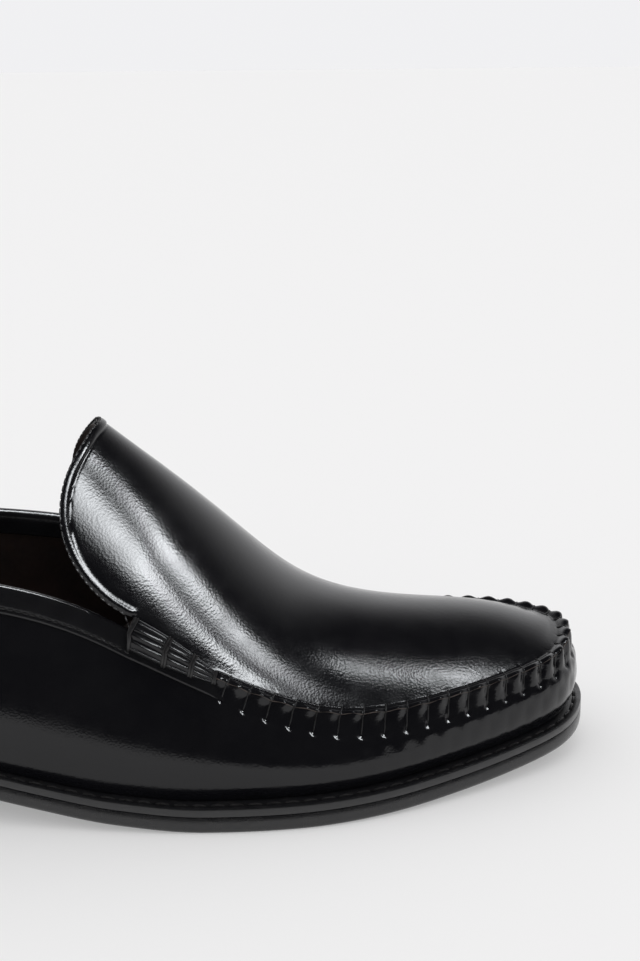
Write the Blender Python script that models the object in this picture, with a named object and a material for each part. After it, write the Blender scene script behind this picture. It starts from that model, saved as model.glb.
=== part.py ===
"""Right venetian loafer, men's size EU 42.

A hollow lasted upper with a raised apron seam and a tall saddle-shaped tongue stands on a welt
and a leather outsole. A stacked heel with a rubber top piece, an insole, a folded collar binding
and two corded side rolls complete it.
Frame: metres, +X towards the toe, +Y towards the inner (medial) side, +Z up, origin on the floor
under the middle of the shoe's box. Lengths along the shoe run from the heel's back edge.
"""

import math
from collections import namedtuple

import bpy
import numpy as np

# Sole
SOLE_LENGTH = 0.300
BALL_WIDTH = 0.100
HEEL_WIDTH = 0.067
OUTSOLE_THICKNESS = 0.0046
OUTSOLE_EDGE_ROUND = 0.0009
WELT_THICKNESS = 0.0024
WELT_EDGE_ROUND = 0.0005
INSOLE_THICKNESS = 0.0032
TOE_SPRING = 0.0066
ARCH_LIFT = 0.0022
ARCH_SPAN = (0.27, 0.61)
ARCH_RAMP = 0.17

# Heel
HEEL_LIFT = 0.0210
TOP_PIECE_THICKNESS = 0.0060
HEEL_LENGTH = 0.078
HEEL_SETBACK = 0.0004
HEEL_TAPER = 0.0012
HEEL_PITCH = 0.0035

# Upper
WALL = 0.0020
LEDGE = 0.0050
COLLAR_HEIGHT = 0.088
SEAM_HEIGHT = 0.030
WALL_SWELL = 0.0042
TONGUE_HEIGHT = 0.1035
TONGUE_SETBACK = 0.142
TONGUE_TIP_RADIUS = 0.0225
TONGUE_TIP_DEPTH = 0.0385
SEAM_RIDGE_HEIGHT = 0.0022
SEAM_RIDGE_REACH = 0.0034
SEAM_RIDGE_SHARPNESS = 1.5
APRON_EDGE = 0.0045

# Trim
BINDING_DEPTH = 0.0060
BINDING_THICKNESS = 0.0010
ROLL_LENGTH = 0.026
ROLL_WIDTH = 0.0088
ROLL_HEIGHT = 0.0038
ROLL_TAPER = 0.65
ROLL_SEGMENTS = 3
ROLL_SPACING = 0.8
ROLL_WAIST = 0.72
ROLL_RIM = 0.16
BINDING_GAP = 0.002

# Fit between neighbouring pieces
CLEARANCE = 0.0003
WELT_BASE = OUTSOLE_THICKNESS + CLEARANCE
UPPER_BASE = WELT_BASE + WELT_THICKNESS + CLEARANCE

# Resolution
REAR_STEPS = 15
UNDER_ROLL_STEPS = 2
FRONT_STEPS = 12
WALL_ROWS = 6
APRON_COLUMNS = 12
TONGUE_ROWS = 7
TONGUE_ROW_SPACING = 1.5
PLATE_COLUMNS = 6
HEEL_ROWS = 11
ROLL_STEPS = 4
ROLL_COLUMNS = 8
OUTLINE_SAMPLES = 361
CREST_ROUNDS = 30

# Outline of the sole: half widths as shares of the heel width and of the ball width
EdgeRow = namedtuple("EdgeRow", "along lat_heel lat_ball med_heel med_ball")
SOLE_EDGE = (
    EdgeRow(0.03, 0.276, 0.000, 0.276, 0.000),
    EdgeRow(0.12, 0.492, 0.000, 0.492, 0.000),
    EdgeRow(0.25, 0.515, 0.000, 0.492, 0.000),
    EdgeRow(0.40, 0.280, 0.217, 0.280, 0.123),
    EdgeRow(0.52, 0.070, 0.434, 0.070, 0.309),
    EdgeRow(0.64, 0.000, 0.520, 0.000, 0.460),
    EdgeRow(0.75, 0.000, 0.487, 0.000, 0.496),
    EdgeRow(0.85, 0.000, 0.368, 0.000, 0.468),
    EdgeRow(0.93, 0.000, 0.233, 0.000, 0.390),
    EdgeRow(0.98, 0.000, 0.099, 0.000, 0.261),
)
TOE_POINT = 0.110

# Height of the outsole's underside: shares of the heel lift behind, of the toe spring in front
RiseRow = namedtuple("RiseRow", "along heel_lift toe_spring")
RISE = (
    RiseRow(0.00, 1.000, 0.00),
    RiseRow(0.12, 0.985, 0.00),
    RiseRow(0.25, 0.880, 0.00),
    RiseRow(0.32, 0.715, 0.00),
    RiseRow(0.40, 0.440, 0.00),
    RiseRow(0.47, 0.245, 0.00),
    RiseRow(0.54, 0.085, 0.00),
    RiseRow(0.62, 0.000, 0.00),
    RiseRow(0.70, 0.000, 0.00),
    RiseRow(0.78, 0.000, 0.075),
    RiseRow(0.86, 0.000, 0.290),
    RiseRow(0.93, 0.000, 0.590),
    RiseRow(1.00, 0.000, 1.000),
)

# Welt ledge in front of the upper, as a share of LEDGE, along the length
LedgeRow = namedtuple("LedgeRow", "along share")
LEDGES = (
    LedgeRow(0.00, 0.50),
    LedgeRow(0.25, 0.55),
    LedgeRow(0.45, 0.75),
    LedgeRow(0.65, 1.00),
    LedgeRow(0.85, 0.95),
    LedgeRow(1.00, 0.85),
)

# Top line: collar behind the tongue's root, apron seam before it.
# Insets from the sole's edge are shares of the ball width.
# The climb is 0 at SEAM_HEIGHT and 1 at COLLAR_HEIGHT.
TopRow = namedtuple("TopRow", "along lat_inset med_inset lat_climb med_climb")
TOP_LINE = (
    TopRow(0.04, 0.070, 0.070, 0.97, 0.98),
    TopRow(0.18, 0.075, 0.070, 0.78, 0.88),
    TopRow(0.34, 0.112, 0.061, 0.64, 0.73),
    TopRow(0.50, 0.161, 0.056, 0.47, 0.61),
    TopRow(0.62, 0.146, 0.084, 0.18, 0.37),
    TopRow(0.74, 0.105, 0.086, -0.03, 0.09),
    TopRow(0.85, 0.069, 0.076, -0.04, 0.04),
    TopRow(0.94, 0.050, 0.058, 0.01, 0.06),
)
HEEL_INSET = 0.075
TOE_INSET = 0.056
TOE_CLIMB = 0.065

# Swell of the wall outside its chord, as a share of WALL_SWELL, and how low it sits
SwellRow = namedtuple("SwellRow", "along lateral medial low")
SWELL = (
    SwellRow(0.10, 1.00, 1.00, 1.9),
    SwellRow(0.30, 1.05, 1.00, 1.7),
    SwellRow(0.50, 1.25, 0.90, 1.5),
    SwellRow(0.70, 1.10, 1.10, 1.3),
    SwellRow(0.88, 0.85, 0.90, 1.2),
)
HEEL_SWELL = 0.80
TOE_SWELL = 0.75
HEEL_LOW = 2.0
TOE_LOW = 1.2

# Where the tongue's root lies on the top line, as a share of the sole's length
ROOT_ALONG = 0.547

# Crest of apron and tongue, from the apron's front edge back to the tongue's tip
CrestRow = namedtuple("CrestRow", "back climb")
CREST = (
    CrestRow(0.00, 0.000),
    CrestRow(0.11, 0.062),
    CrestRow(0.27, 0.107),
    CrestRow(0.43, 0.156),
    CrestRow(0.575, 0.262),
    CrestRow(0.717, 0.508),
    CrestRow(0.859, 0.767),
    CrestRow(1.00, 1.000),
)

# Apron sections by station along the sole, in degrees: slope at the seam, forward tilt,
# and how far the section turns from its crest to its edge
ApronRow = namedtuple("ApronRow", "along slope tilt fullness")
APRON = (
    ApronRow(0.45, 82.0, 26.0, 82.0),
    ApronRow(0.55, 77.0, 23.5, 81.0),
    ApronRow(0.62, 62.0, 20.0, 73.0),
    ApronRow(0.74, 42.0, 14.0, 60.0),
    ApronRow(0.85, 35.0, 8.0, 52.0),
    ApronRow(0.94, 27.0, 3.0, 47.0),
    ApronRow(1.00, 18.0, 0.0, 45.0),
)
TONGUE_TIP_TILT = 58.0
TONGUE_ROUNDNESS = (2.9, 1.9)
TONGUE_FLARE = 0.08
TONGUE_FLARE_END = 0.8
FLATTENING_LIMIT = 0.7

FLARE_PEAK = 27.0 / 4.0
TURN = 2.0 * math.pi
DIFFERENCE = 1e-4

# Finishes: linear RGB, roughness and lacquer coat
Finish = namedtuple("Finish", "name colour roughness coat")
BLACK_LEATHER = Finish("black_leather", (0.006, 0.006, 0.007), 0.16, 1.0)
EDGE_INK = Finish("black_edge", (0.012, 0.012, 0.013), 0.38, 0.0)
RUBBER = Finish("black_rubber", (0.020, 0.020, 0.021), 0.60, 0.0)
BROWN_LEATHER = Finish("brown_leather", (0.050, 0.020, 0.012), 0.55, 0.0)
SHARP_ANGLE = 40.0


def spline(knots, values, at):
    """Natural cubic spline through the knots."""
    knots = np.asarray(knots, float)
    values = np.asarray(values, float)
    step = np.diff(knots)
    count = len(knots)
    matrix = np.eye(count)
    right = np.zeros(count)
    for i in range(1, count - 1):
        matrix[i, i - 1:i + 2] = step[i - 1], 2.0 * (step[i - 1] + step[i]), step[i]
        right[i] = 6.0 * ((values[i + 1] - values[i]) / step[i]
                          - (values[i] - values[i - 1]) / step[i - 1])
    bend = np.linalg.solve(matrix, right)
    i = np.clip(np.searchsorted(knots, at, side="right") - 1, 0, count - 2)
    width = step[i]
    b = (at - knots[i]) / width
    a = 1.0 - b
    return (a * values[i] + b * values[i + 1]
            + ((a ** 3 - a) * bend[i] + (b ** 3 - b) * bend[i + 1]) * width ** 2 / 6.0)


def steady(knots, values, at):
    """Cubic curve through the knots that never overshoots them, so a flat stretch stays flat."""
    knots = np.asarray(knots, float)
    values = np.asarray(values, float)
    step = np.diff(knots)
    rate = np.diff(values) / step
    slope = np.zeros(len(knots))
    for i in range(1, len(knots) - 1):
        if rate[i - 1] * rate[i] > 0.0:
            slope[i] = 2.0 * rate[i - 1] * rate[i] / (rate[i - 1] + rate[i])
    slope[-1] = rate[-1]
    i = np.clip(np.searchsorted(knots, at, side="right") - 1, 0, len(knots) - 2)
    width = step[i]
    b = (at - knots[i]) / width
    return ((1.0 + 2.0 * b) * (1.0 - b) ** 2 * values[i] + b * (1.0 - b) ** 2 * width * slope[i]
            + b * b * (3.0 - 2.0 * b) * values[i + 1] - b * b * (1.0 - b) * width * slope[i + 1])


def ring_angle(along):
    """Angle round the shoe of a share of its length: 0 at the heel, half a turn at the toe."""
    return np.arccos(1.0 - 2.0 * np.asarray(along, float))


def share_along(angle):
    """Share of the length at an angle round the shoe."""
    return (1.0 - np.cos(angle)) / 2.0


def around(rows, lateral, medial, heel, toe, angle):
    """Closed smooth curve of one value: heel, lateral rows, toe, medial rows."""
    theta = ring_angle([row.along for row in rows])
    knots = np.concatenate([[0.0], theta, [math.pi], TURN - theta[::-1]])
    values = np.concatenate([[heel], lateral, [toe], medial[::-1]])
    laps = np.concatenate([knots - TURN, knots, knots + TURN])
    return spline(laps, np.tile(values, 3), np.mod(angle, TURN))


def unit(vector):
    """Vectors scaled to length 1 along the last axis."""
    return vector / np.linalg.norm(vector, axis=-1, keepdims=True)


def sole_edge(angle):
    """Plan point of the sole's edge."""
    lateral = [-(row.lat_heel * HEEL_WIDTH + row.lat_ball * BALL_WIDTH) for row in SOLE_EDGE]
    medial = [row.med_heel * HEEL_WIDTH + row.med_ball * BALL_WIDTH for row in SOLE_EDGE]
    y = around(SOLE_EDGE, lateral, medial, 0.0, TOE_POINT * BALL_WIDTH, angle)
    return np.stack([SOLE_LENGTH * share_along(angle), y], -1)


def inward(curve, angle):
    """Unit plan vector pointing into the shoe, square to a closed plan curve."""
    tangent = curve(angle + DIFFERENCE)[..., :2] - curve(angle - DIFFERENCE)[..., :2]
    return unit(np.stack([-tangent[..., 1], tangent[..., 0]], -1))


def inside_edge(angle, inset):
    """Plan point at an inset inside the sole's edge."""
    inset = np.asarray(inset, float)[..., None]
    return sole_edge(angle) + inward(sole_edge, angle) * inset


def rise(x, y):
    """Height of the outsole's underside above the floor."""
    along = np.clip(x / SOLE_LENGTH, 0.0, 1.0)
    behind = steady([row.along for row in RISE], [row.heel_lift for row in RISE], along)
    ahead = steady([row.along for row in RISE], [row.toe_spring for row in RISE], along)
    waist = np.minimum(along - ARCH_SPAN[0], ARCH_SPAN[1] - along) / ARCH_RAMP
    waist = np.clip(waist, 0.0, 1.0)
    side = np.clip(y / (BALL_WIDTH / 2.0), 0.0, 1.0)
    arch = ARCH_LIFT * waist ** 2 * (3.0 - 2.0 * waist) * side ** 2
    return HEEL_LIFT * behind + TOE_SPRING * ahead + arch


def on_level(plan, height):
    """Plan points lifted to a height above the outsole's underside."""
    z = rise(plan[..., 0], plan[..., 1]) + height
    return np.concatenate([plan, z[..., None]], -1)


def ledge(angle):
    """Width of the welt that shows round the upper."""
    along = share_along(angle)
    return LEDGE * spline([row.along for row in LEDGES], [row.share for row in LEDGES], along)


def feather(angle):
    """Lower edge of the upper's outer face."""
    return on_level(inside_edge(angle, ledge(angle)), UPPER_BASE)


def top_line(angle):
    """Upper edge of the wall: the collar behind the root, the apron seam in front."""
    inset = around(TOP_LINE, [row.lat_inset for row in TOP_LINE],
                   [row.med_inset for row in TOP_LINE], HEEL_INSET, TOE_INSET, angle)
    climb = around(TOP_LINE, [row.lat_climb for row in TOP_LINE],
                   [row.med_climb for row in TOP_LINE], 1.0, TOE_CLIMB, angle)
    plan = inside_edge(angle, inset * BALL_WIDTH)
    z = SEAM_HEIGHT + (COLLAR_HEIGHT - SEAM_HEIGHT) * climb
    return np.concatenate([plan, z[..., None]], -1)


def wall(angle, up):
    """Point of the wall's outer face, from the feather edge (0) to the top line (1)."""
    foot = feather(angle)
    chord = top_line(angle) - foot
    amount = WALL_SWELL * around(SWELL, [row.lateral for row in SWELL],
                                 [row.medial for row in SWELL], HEEL_SWELL, TOE_SWELL, angle)
    low_rows = [row.low for row in SWELL]
    low = around(SWELL, low_rows, low_rows, HEEL_LOW, TOE_LOW, angle)
    peak = (low + 1.0) ** (low + 1.0) / low ** low
    swell = amount * peak * up * (1.0 - up) ** low
    out = np.concatenate([-inward(sole_edge, angle), np.zeros(np.shape(angle) + (1,))], -1)
    return foot + chord * up[..., None] + out * swell[..., None]


def wall_length(angle):
    """Straight length from the feather edge to the top line."""
    return np.linalg.norm(top_line(angle) - feather(angle), axis=-1)


def apron_value(column, angle):
    """Smooth value of one column of the apron's table at an angle round the shoe."""
    along = [row.along for row in APRON]
    return spline(along, [getattr(row, column) for row in APRON], share_along(angle))


def seam_side(angle):
    """Directions on the apron at the seam: across the shoe's inside, and up its sloping edge."""
    near_toe = np.where(np.abs(angle - math.pi) < DIFFERENCE, math.pi - DIFFERENCE, angle)
    half = top_line(TURN - near_toe) - top_line(near_toe)
    slant = half[..., 2] / half[..., 1]
    plan = inward(top_line, angle)
    across = unit(np.stack([plan[..., 0], plan[..., 1], plan[..., 1] * slant], -1))
    tilt = np.radians(apron_value("tilt", angle))
    up = np.stack([np.sin(tilt), np.zeros_like(tilt), np.cos(tilt)], -1)
    return across, up


def apron_edge(angle, reach):
    """Point on the apron at a reach from the seam, measured up its sloping edge."""
    across, up = seam_side(angle)
    slope = np.radians(apron_value("slope", angle))[..., None]
    reach = np.asarray(reach, float)[..., None]
    return top_line(angle) + reach * (across * np.cos(slope) + up * np.sin(slope))


ROOT_ANGLE = float(ring_angle(ROOT_ALONG))
TOE_ANGLE = np.array([math.pi])
APRON_FRONT = apron_edge(TOE_ANGLE, APRON_EDGE)[0]
TONGUE_TIP_X = SOLE_LENGTH - TONGUE_SETBACK


def crest_height(x):
    """Height of the crest line of apron and tongue at a place along the shoe."""
    back = (APRON_FRONT[0] - x) / (APRON_FRONT[0] - TONGUE_TIP_X)
    climb = spline([row.back for row in CREST], [row.climb for row in CREST], back)
    return APRON_FRONT[2] + (TONGUE_HEIGHT - APRON_FRONT[2]) * climb


# Cross sections: crest point, sideways and downward vectors, turn from crest to seam,
# flattening of the flanks, and turn from crest to free edge
Sections = namedtuple("Sections", "top side down full flat edge")


def apron_sections(angle):
    """Sections of the apron at angles on the lateral side, each paired with its medial twin."""
    left = apron_edge(angle, np.full_like(angle, APRON_EDGE))
    right = apron_edge(TURN - angle, np.full_like(angle, APRON_EDGE))
    middle = (left + right) / 2.0
    lean = np.tan(np.radians(apron_value("tilt", angle)))
    x = middle[..., 0]
    for _ in range(CREST_ROUNDS):
        x = (x + middle[..., 0] + lean * (crest_height(x) - middle[..., 2])) / 2.0
    top = np.stack([x, middle[..., 1], crest_height(x)], -1)
    half = (right - left) / 2.0
    height = top - middle
    across = np.abs(inward(top_line, angle)[..., 1])
    slope = np.tan(np.radians(apron_value("slope", angle))) * across
    full = np.radians(apron_value("fullness", angle))
    wanted = slope * np.linalg.norm(half, axis=-1) / np.linalg.norm(height, axis=-1)
    flat = np.clip(wanted * np.cos(full) / (1.0 + np.cos(full)) - 1.0,
                   -FLATTENING_LIMIT, FLATTENING_LIMIT)
    side = half / np.sin(full)[..., None]
    down = -height / (1.0 - np.cos(full))[..., None]
    return Sections(top, side, down, full, flat, full)


def arcs(sections, share):
    """Points of the sections at shares of the turn from the crest to the edge, -1 to 1."""
    turn = sections.edge[:, None] * share
    fall = 1.0 - np.cos(turn)
    left = 1.0 - fall / (1.0 - np.cos(sections.full))[:, None]
    drop = fall * (1.0 - sections.flat[:, None] * left)
    return (sections.top[:, None] + sections.side[:, None] * np.sin(turn)[..., None]
            + sections.down[:, None] * drop[..., None])


def tongue_sections(share):
    """Sections of the tongue beyond its root, carried on smoothly from the apron's last one."""
    root = apron_sections(np.array([ROOT_ANGLE, ROOT_ANGLE + DIFFERENCE]))
    span = TONGUE_TIP_X - root.top[0, 0]
    step = root.top[1, 0] - root.top[0, 0]
    tip_tilt = math.radians(TONGUE_TIP_TILT)
    tip_side = np.array([0.0, TONGUE_TIP_RADIUS, 0.0])
    tip_down = -TONGUE_TIP_DEPTH * np.array([math.sin(tip_tilt), 0.0, math.cos(tip_tilt)])
    t = share[:, None]
    start = 2.0 * t ** 3 - 3.0 * t ** 2 + 1.0
    leave = (t ** 3 - 2.0 * t ** 2 + t) * span / step

    def carried(values, tip):
        return start * values[0] + leave * (values[1] - values[0]) + (1.0 - start) * tip

    blunt, round_off = TONGUE_ROUNDNESS
    x = root.top[0, 0] + span * share
    y = carried(root.top[:, 1:2], 0.0)[:, 0]
    top = np.stack([x, y, crest_height(x)], -1)
    flat = carried(root.flat[:, None], 0.0)[:, 0]
    full = np.full_like(share, root.full[0])
    left = np.clip(share / TONGUE_FLARE_END, 0.0, 1.0)
    flare = TONGUE_FLARE * FLARE_PEAK * left * (1.0 - left) ** 2
    edge = full * (np.maximum(1.0 - share ** blunt, 0.0) ** (1.0 / round_off) + flare)
    return Sections(top, carried(root.side, tip_side), carried(root.down, tip_down),
                    full, flat, edge)


def ridge(reach):
    """Share of the seam ridge's height at a signed reach from the seam."""
    share = np.clip(np.abs(reach) / SEAM_RIDGE_REACH, 0.0, 1.0)
    return np.cos(share * math.pi / 2.0) ** SEAM_RIDGE_SHARPNESS


def seam_angle(distance, medial=False):
    """Angle at a length along the seam from the tongue's root, on one side of the shoe."""
    angles = np.linspace(ROOT_ANGLE, math.pi, OUTLINE_SAMPLES)
    line = top_line(TURN - angles if medial else angles)
    steps = np.linalg.norm(np.diff(line, axis=0), axis=-1)
    found = np.interp(distance, np.concatenate([[0.0], np.cumsum(steps)]), angles)
    return TURN - found if medial else found


def half_stations(medial=False):
    """Angles of the stations on one side, from the heel to the toe, both included."""
    roll_end = seam_angle(ROLL_LENGTH + CLEARANCE)
    ridge_start = seam_angle(ROLL_LENGTH + CLEARANCE + SEAM_RIDGE_REACH)
    parts = [
        np.linspace(0.0, ROOT_ANGLE, REAR_STEPS + 1),
        np.linspace(ROOT_ANGLE, roll_end, UNDER_ROLL_STEPS + 1)[1:],
        np.linspace(ridge_start, math.pi, FRONT_STEPS + 1),
    ]
    angles = np.concatenate(parts)
    return (TURN - angles)[::-1] if medial else angles


HALF = half_stations()
RING = np.concatenate([HALF, half_stations(medial=True)[1:-1]])
ROOT = REAR_STEPS
RIDGE_START = REAR_STEPS + UNDER_ROLL_STEPS + 1
TOE = len(HALF) - 1


def ridge_share():
    """Share of the seam ridge's height at each station: full in front of the side rolls."""
    number = np.arange(len(RING))
    return ((number >= RIDGE_START) & (number <= len(RING) - RIDGE_START)).astype(float)


class Skin:
    """Open surface collected as points and faces, thickened into one closed body."""

    def __init__(self):
        self.points = []
        self.outer = []
        self.faces = []

    def add(self, points, outer=0.0):
        """Adds points with the height of the outer face above each, and returns their numbers."""
        first = len(self.points)
        self.points.extend(np.asarray(points, float))
        self.outer.extend(np.broadcast_to(outer, (len(points),)))
        return np.arange(first, len(self.points))

    def strip(self, first, second, closed=False):
        """Quads from one row of point numbers to the next, wound for the outside."""
        count = len(first)
        for i in range(count if closed else count - 1):
            j = (i + 1) % count
            self.faces.append((first[i], first[j], second[j], second[i]))

    def fan(self, row, tip):
        """Triangles from a row of point numbers to a single point."""
        for i in range(len(row) - 1):
            self.faces.append((row[i], row[i + 1], tip))

    def normals(self):
        """Outward direction at every point."""
        points = np.array(self.points)
        total = np.zeros_like(points)
        for face in self.faces:
            corners = points[list(face)]
            diagonal = np.cross(corners[2] - corners[0], corners[-1] - corners[1])
            if len(face) == 3:
                diagonal = np.cross(corners[1] - corners[0], corners[2] - corners[0])
            total[list(face)] += diagonal
        return unit(total)

    def body(self, inner):
        """Closed mesh data between the outer face and an inner face given for each point."""
        points = np.array(self.points)
        outside = points + self.normals() * np.array(self.outer)[:, None]
        count = len(points)
        faces = list(self.faces)
        faces += [tuple(number + count for number in reversed(face)) for face in self.faces]
        edges = set()
        for face in self.faces:
            edges.update(zip(face, face[1:] + face[:1]))
        for start, end in edges_in_order(edges):
            if (end, start) not in edges:
                faces.append((end, start, start + count, end + count))
        return np.concatenate([outside, inner]), faces


def edges_in_order(edges):
    """Directed edges in a fixed order."""
    return sorted((int(start), int(end)) for start, end in edges)


def make_object(name, points, faces, material):
    """Mesh object from points and faces, shaded smooth up to an angle."""
    mesh = bpy.data.meshes.new(name)
    mesh.from_pydata([tuple(point) for point in points], [], [tuple(int(n) for n in face)
                                                              for face in faces])
    mesh.materials.append(material)
    mesh.shade_smooth()
    mesh.set_sharp_from_angle(angle=math.radians(SHARP_ANGLE))
    item = bpy.data.objects.new(name, mesh)
    bpy.context.scene.collection.objects.link(item)
    return item


def make_material(finish):
    """Principled material of one finish."""
    material = bpy.data.materials.new(finish.name)
    material.use_nodes = True
    shader = material.node_tree.nodes["Principled BSDF"]
    shader.inputs["Base Color"].default_value = finish.colour + (1.0,)
    shader.inputs["Roughness"].default_value = finish.roughness
    shader.inputs["Metallic"].default_value = 0.0
    shader.inputs["Coat Weight"].default_value = finish.coat
    material.diffuse_color = finish.colour + (1.0,)
    return material


def make_upper(material):
    """Hollow upper: wall all round, raised seam, apron and tongue in one skin."""
    skin = Skin()
    length = wall_length(RING)
    reaches = SEAM_RIDGE_REACH * np.array([-1.0, -2.0 / 3.0, -1.0 / 3.0, 0.0])
    raised = SEAM_RIDGE_HEIGHT * ridge_share()

    rows = []
    for step in range(WALL_ROWS):
        up = step / WALL_ROWS * (1.0 - SEAM_RIDGE_REACH / length)
        rows.append(skin.add(wall(RING, up)))
    for reach in reaches:
        rows.append(skin.add(wall(RING, 1.0 + reach / length), raised * ridge(reach)))
    for lower, upper in zip(rows, rows[1:]):
        skin.strip(lower, upper, closed=True)

    seam = slice(ROOT, len(RING) - ROOT + 1)
    front = RING[seam]
    band = [rows[-1][seam]]
    for reach in (SEAM_RIDGE_REACH / 3.0, SEAM_RIDGE_REACH * 2.0 / 3.0, APRON_EDGE):
        edge = apron_edge(front, np.full_like(front, reach))
        band.append(skin.add(edge, raised[seam] * ridge(reach)))
    for outer, inner in zip(band, band[1:]):
        skin.strip(outer, inner)

    turns = np.linspace(-1.0, 1.0, APRON_COLUMNS + 1)
    half = RING[ROOT:TOE]
    grid = arcs(apron_sections(half), turns)
    edge = band[-1]
    apron = []
    for i in range(len(half)):
        middle = skin.add(grid[i, 1:-1])
        apron.append(np.concatenate([[edge[i]], middle, [edge[len(front) - 1 - i]]]))
    for behind, ahead in zip(apron, apron[1:]):
        skin.strip(ahead, behind)
    skin.fan(apron[-1][::-1], edge[len(half)])

    share = 1.0 - np.linspace(1.0, 0.0, TONGUE_ROWS + 1)[1:] ** TONGUE_ROW_SPACING
    grid = arcs(tongue_sections(share), turns)
    previous = apron[0]
    for i in range(TONGUE_ROWS - 1):
        row = skin.add(grid[i])
        skin.strip(previous, row)
        previous = row
    tip = skin.add(grid[-1, :1])
    skin.fan(previous, tip[0])

    points = np.array(skin.points)
    inner = points - skin.normals() * WALL
    inner[rows[0]] = on_level(inside_edge(RING, ledge(RING) + WALL), UPPER_BASE)
    spread_inside(inner, rows[-4:])
    spread_inside(inner, band)
    body, faces = skin.body(inner)
    return make_object("upper", body, faces, material)


def spread_inside(inner, rows):
    """Spaces the inner points of a band evenly between its first row and its last."""
    first = inner[rows[0]]
    last = inner[rows[-1]]
    for step, row in enumerate(rows[1:-1], start=1):
        inner[row] = first + (last - first) * step / (len(rows) - 1)


def plate(name, surfaces, material):
    """Solid between the first and the last of a stack of surfaces, through the rims of the others.

    A surface is a list of rows, from the heel forward, of points from lateral to medial.
    A row of one point closes its end.
    """
    points = []
    faces = []
    rims = []
    for level, surface in enumerate(surfaces):
        numbers = []
        for row in surface:
            numbers.append(list(range(len(points), len(points) + len(row))))
            points.extend(row)
        if level in (0, len(surfaces) - 1):
            for behind, ahead in zip(numbers, numbers[1:]):
                for face in quads_between(behind, ahead):
                    faces.append(face if level else face[::-1])
        rims.append(rim_numbers(numbers))
    for low, high in zip(rims, rims[1:]):
        for i in range(len(low)):
            j = (i + 1) % len(low)
            faces.append((low[i], low[j], high[j], high[i]))
    used = sorted({number for face in faces for number in face})
    place = {number: order for order, number in enumerate(used)}
    faces = [tuple(place[number] for number in face) for face in faces]
    return make_object(name, [points[number] for number in used], faces, material)


def quads_between(behind, ahead):
    """Upward faces between two rows, either of which may be a single point."""
    if len(behind) == 1:
        return [(behind[0], ahead[i], ahead[i + 1]) for i in range(len(ahead) - 1)]
    if len(ahead) == 1:
        return [(behind[i], ahead[0], behind[i + 1]) for i in range(len(behind) - 1)]
    return [(behind[i], ahead[i], ahead[i + 1], behind[i + 1]) for i in range(len(behind) - 1)]


def rim_numbers(rows):
    """Point numbers round a surface's rim, lateral side first, against the clock from above."""
    lateral = [row[0] for row in rows]
    medial = [row[-1] for row in rows[::-1]]
    front = rows[-1][1:-1]
    back = rows[0][-2:0:-1]
    return list(dict.fromkeys(lateral + front + medial + back))


def sole_rows(angles, inset, height):
    """Rows across the sole from the heel forward, at an inset and a height over its underside."""
    rows = []
    for angle in angles:
        left, right = inside_edge(np.array([angle, TURN - angle]), np.full(2, inset(angle)))
        across = np.linspace(0.0, 1.0, PLATE_COLUMNS + 1)[:, None]
        if angle < DIFFERENCE or abs(angle - math.pi) < DIFFERENCE:
            across = across[:1]
        rows.append(list(on_level(left + (right - left) * across, height)))
    return rows


def make_outsole(material):
    """Leather outsole with rounded lower and upper edges."""
    levels = (
        (OUTSOLE_EDGE_ROUND, 0.0),
        (0.0, OUTSOLE_EDGE_ROUND),
        (0.0, OUTSOLE_THICKNESS - WELT_EDGE_ROUND),
        (WELT_EDGE_ROUND, OUTSOLE_THICKNESS),
    )
    surfaces = [sole_rows(HALF, lambda angle, inset=inset: inset, height)
                for inset, height in levels]
    return plate("outsole", surfaces, material)


def make_insole(material):
    """Insole inside the upper's wall, on the outsole."""
    surfaces = [sole_rows(HALF, lambda angle: ledge(angle) + WALL + CLEARANCE, height)
                for height in (WELT_BASE, WELT_BASE + INSOLE_THICKNESS)]
    return plate("insole", surfaces, material)


def make_welt(material):
    """Welt: a flat ring under the upper's edge that stands out all round."""
    inner = ledge(RING) + WALL
    top = WELT_BASE + WELT_THICKNESS
    section = (
        (WELT_EDGE_ROUND, WELT_BASE),
        (0.0, WELT_BASE + WELT_EDGE_ROUND),
        (0.0, top - WELT_EDGE_ROUND),
        (WELT_EDGE_ROUND, top),
        (inner, top),
        (inner, WELT_BASE),
    )
    points = []
    for inset, height in section:
        points.extend(on_level(inside_edge(RING, np.broadcast_to(inset, RING.shape)), height))
    count = len(RING)
    faces = []
    for level in range(len(section)):
        above = (level + 1) % len(section)
        for i in range(count):
            j = (i + 1) % count
            faces.append((level * count + i, level * count + j, above * count + j, above * count + i))
    return make_object("welt", points, faces, material)


def heel_rows(down, level):
    """Rows across the heel at a share of the way down from the outsole to the floor."""
    breast = float(ring_angle(HEEL_LENGTH / SOLE_LENGTH))
    angles = np.linspace(0.0, breast, HEEL_ROWS + 1)
    rows = sole_rows(angles, lambda angle: HEEL_SETBACK + HEEL_TAPER * down, 0.0)
    for row in rows:
        for point in row:
            point[0] += HEEL_PITCH * down * (1.0 - point[0] / HEEL_LENGTH)
            point[2] = level(point[0], point[1])
    return rows


def make_heel(stack_material, rubber_material):
    """Leather heel stack under the outsole, and the rubber top piece that stands on the floor."""
    joint = 1.0 - TOP_PIECE_THICKNESS / HEEL_LIFT
    stack = [
        heel_rows(joint, lambda x, y: TOP_PIECE_THICKNESS + CLEARANCE),
        heel_rows(0.0, lambda x, y: rise(x, y) - CLEARANCE),
    ]
    plate("heel_stack", stack, stack_material)
    top_piece = [
        heel_rows(1.0, lambda x, y: 0.0),
        heel_rows(joint, lambda x, y: TOP_PIECE_THICKNESS),
    ]
    plate("heel_top_piece", top_piece, rubber_material)


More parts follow.
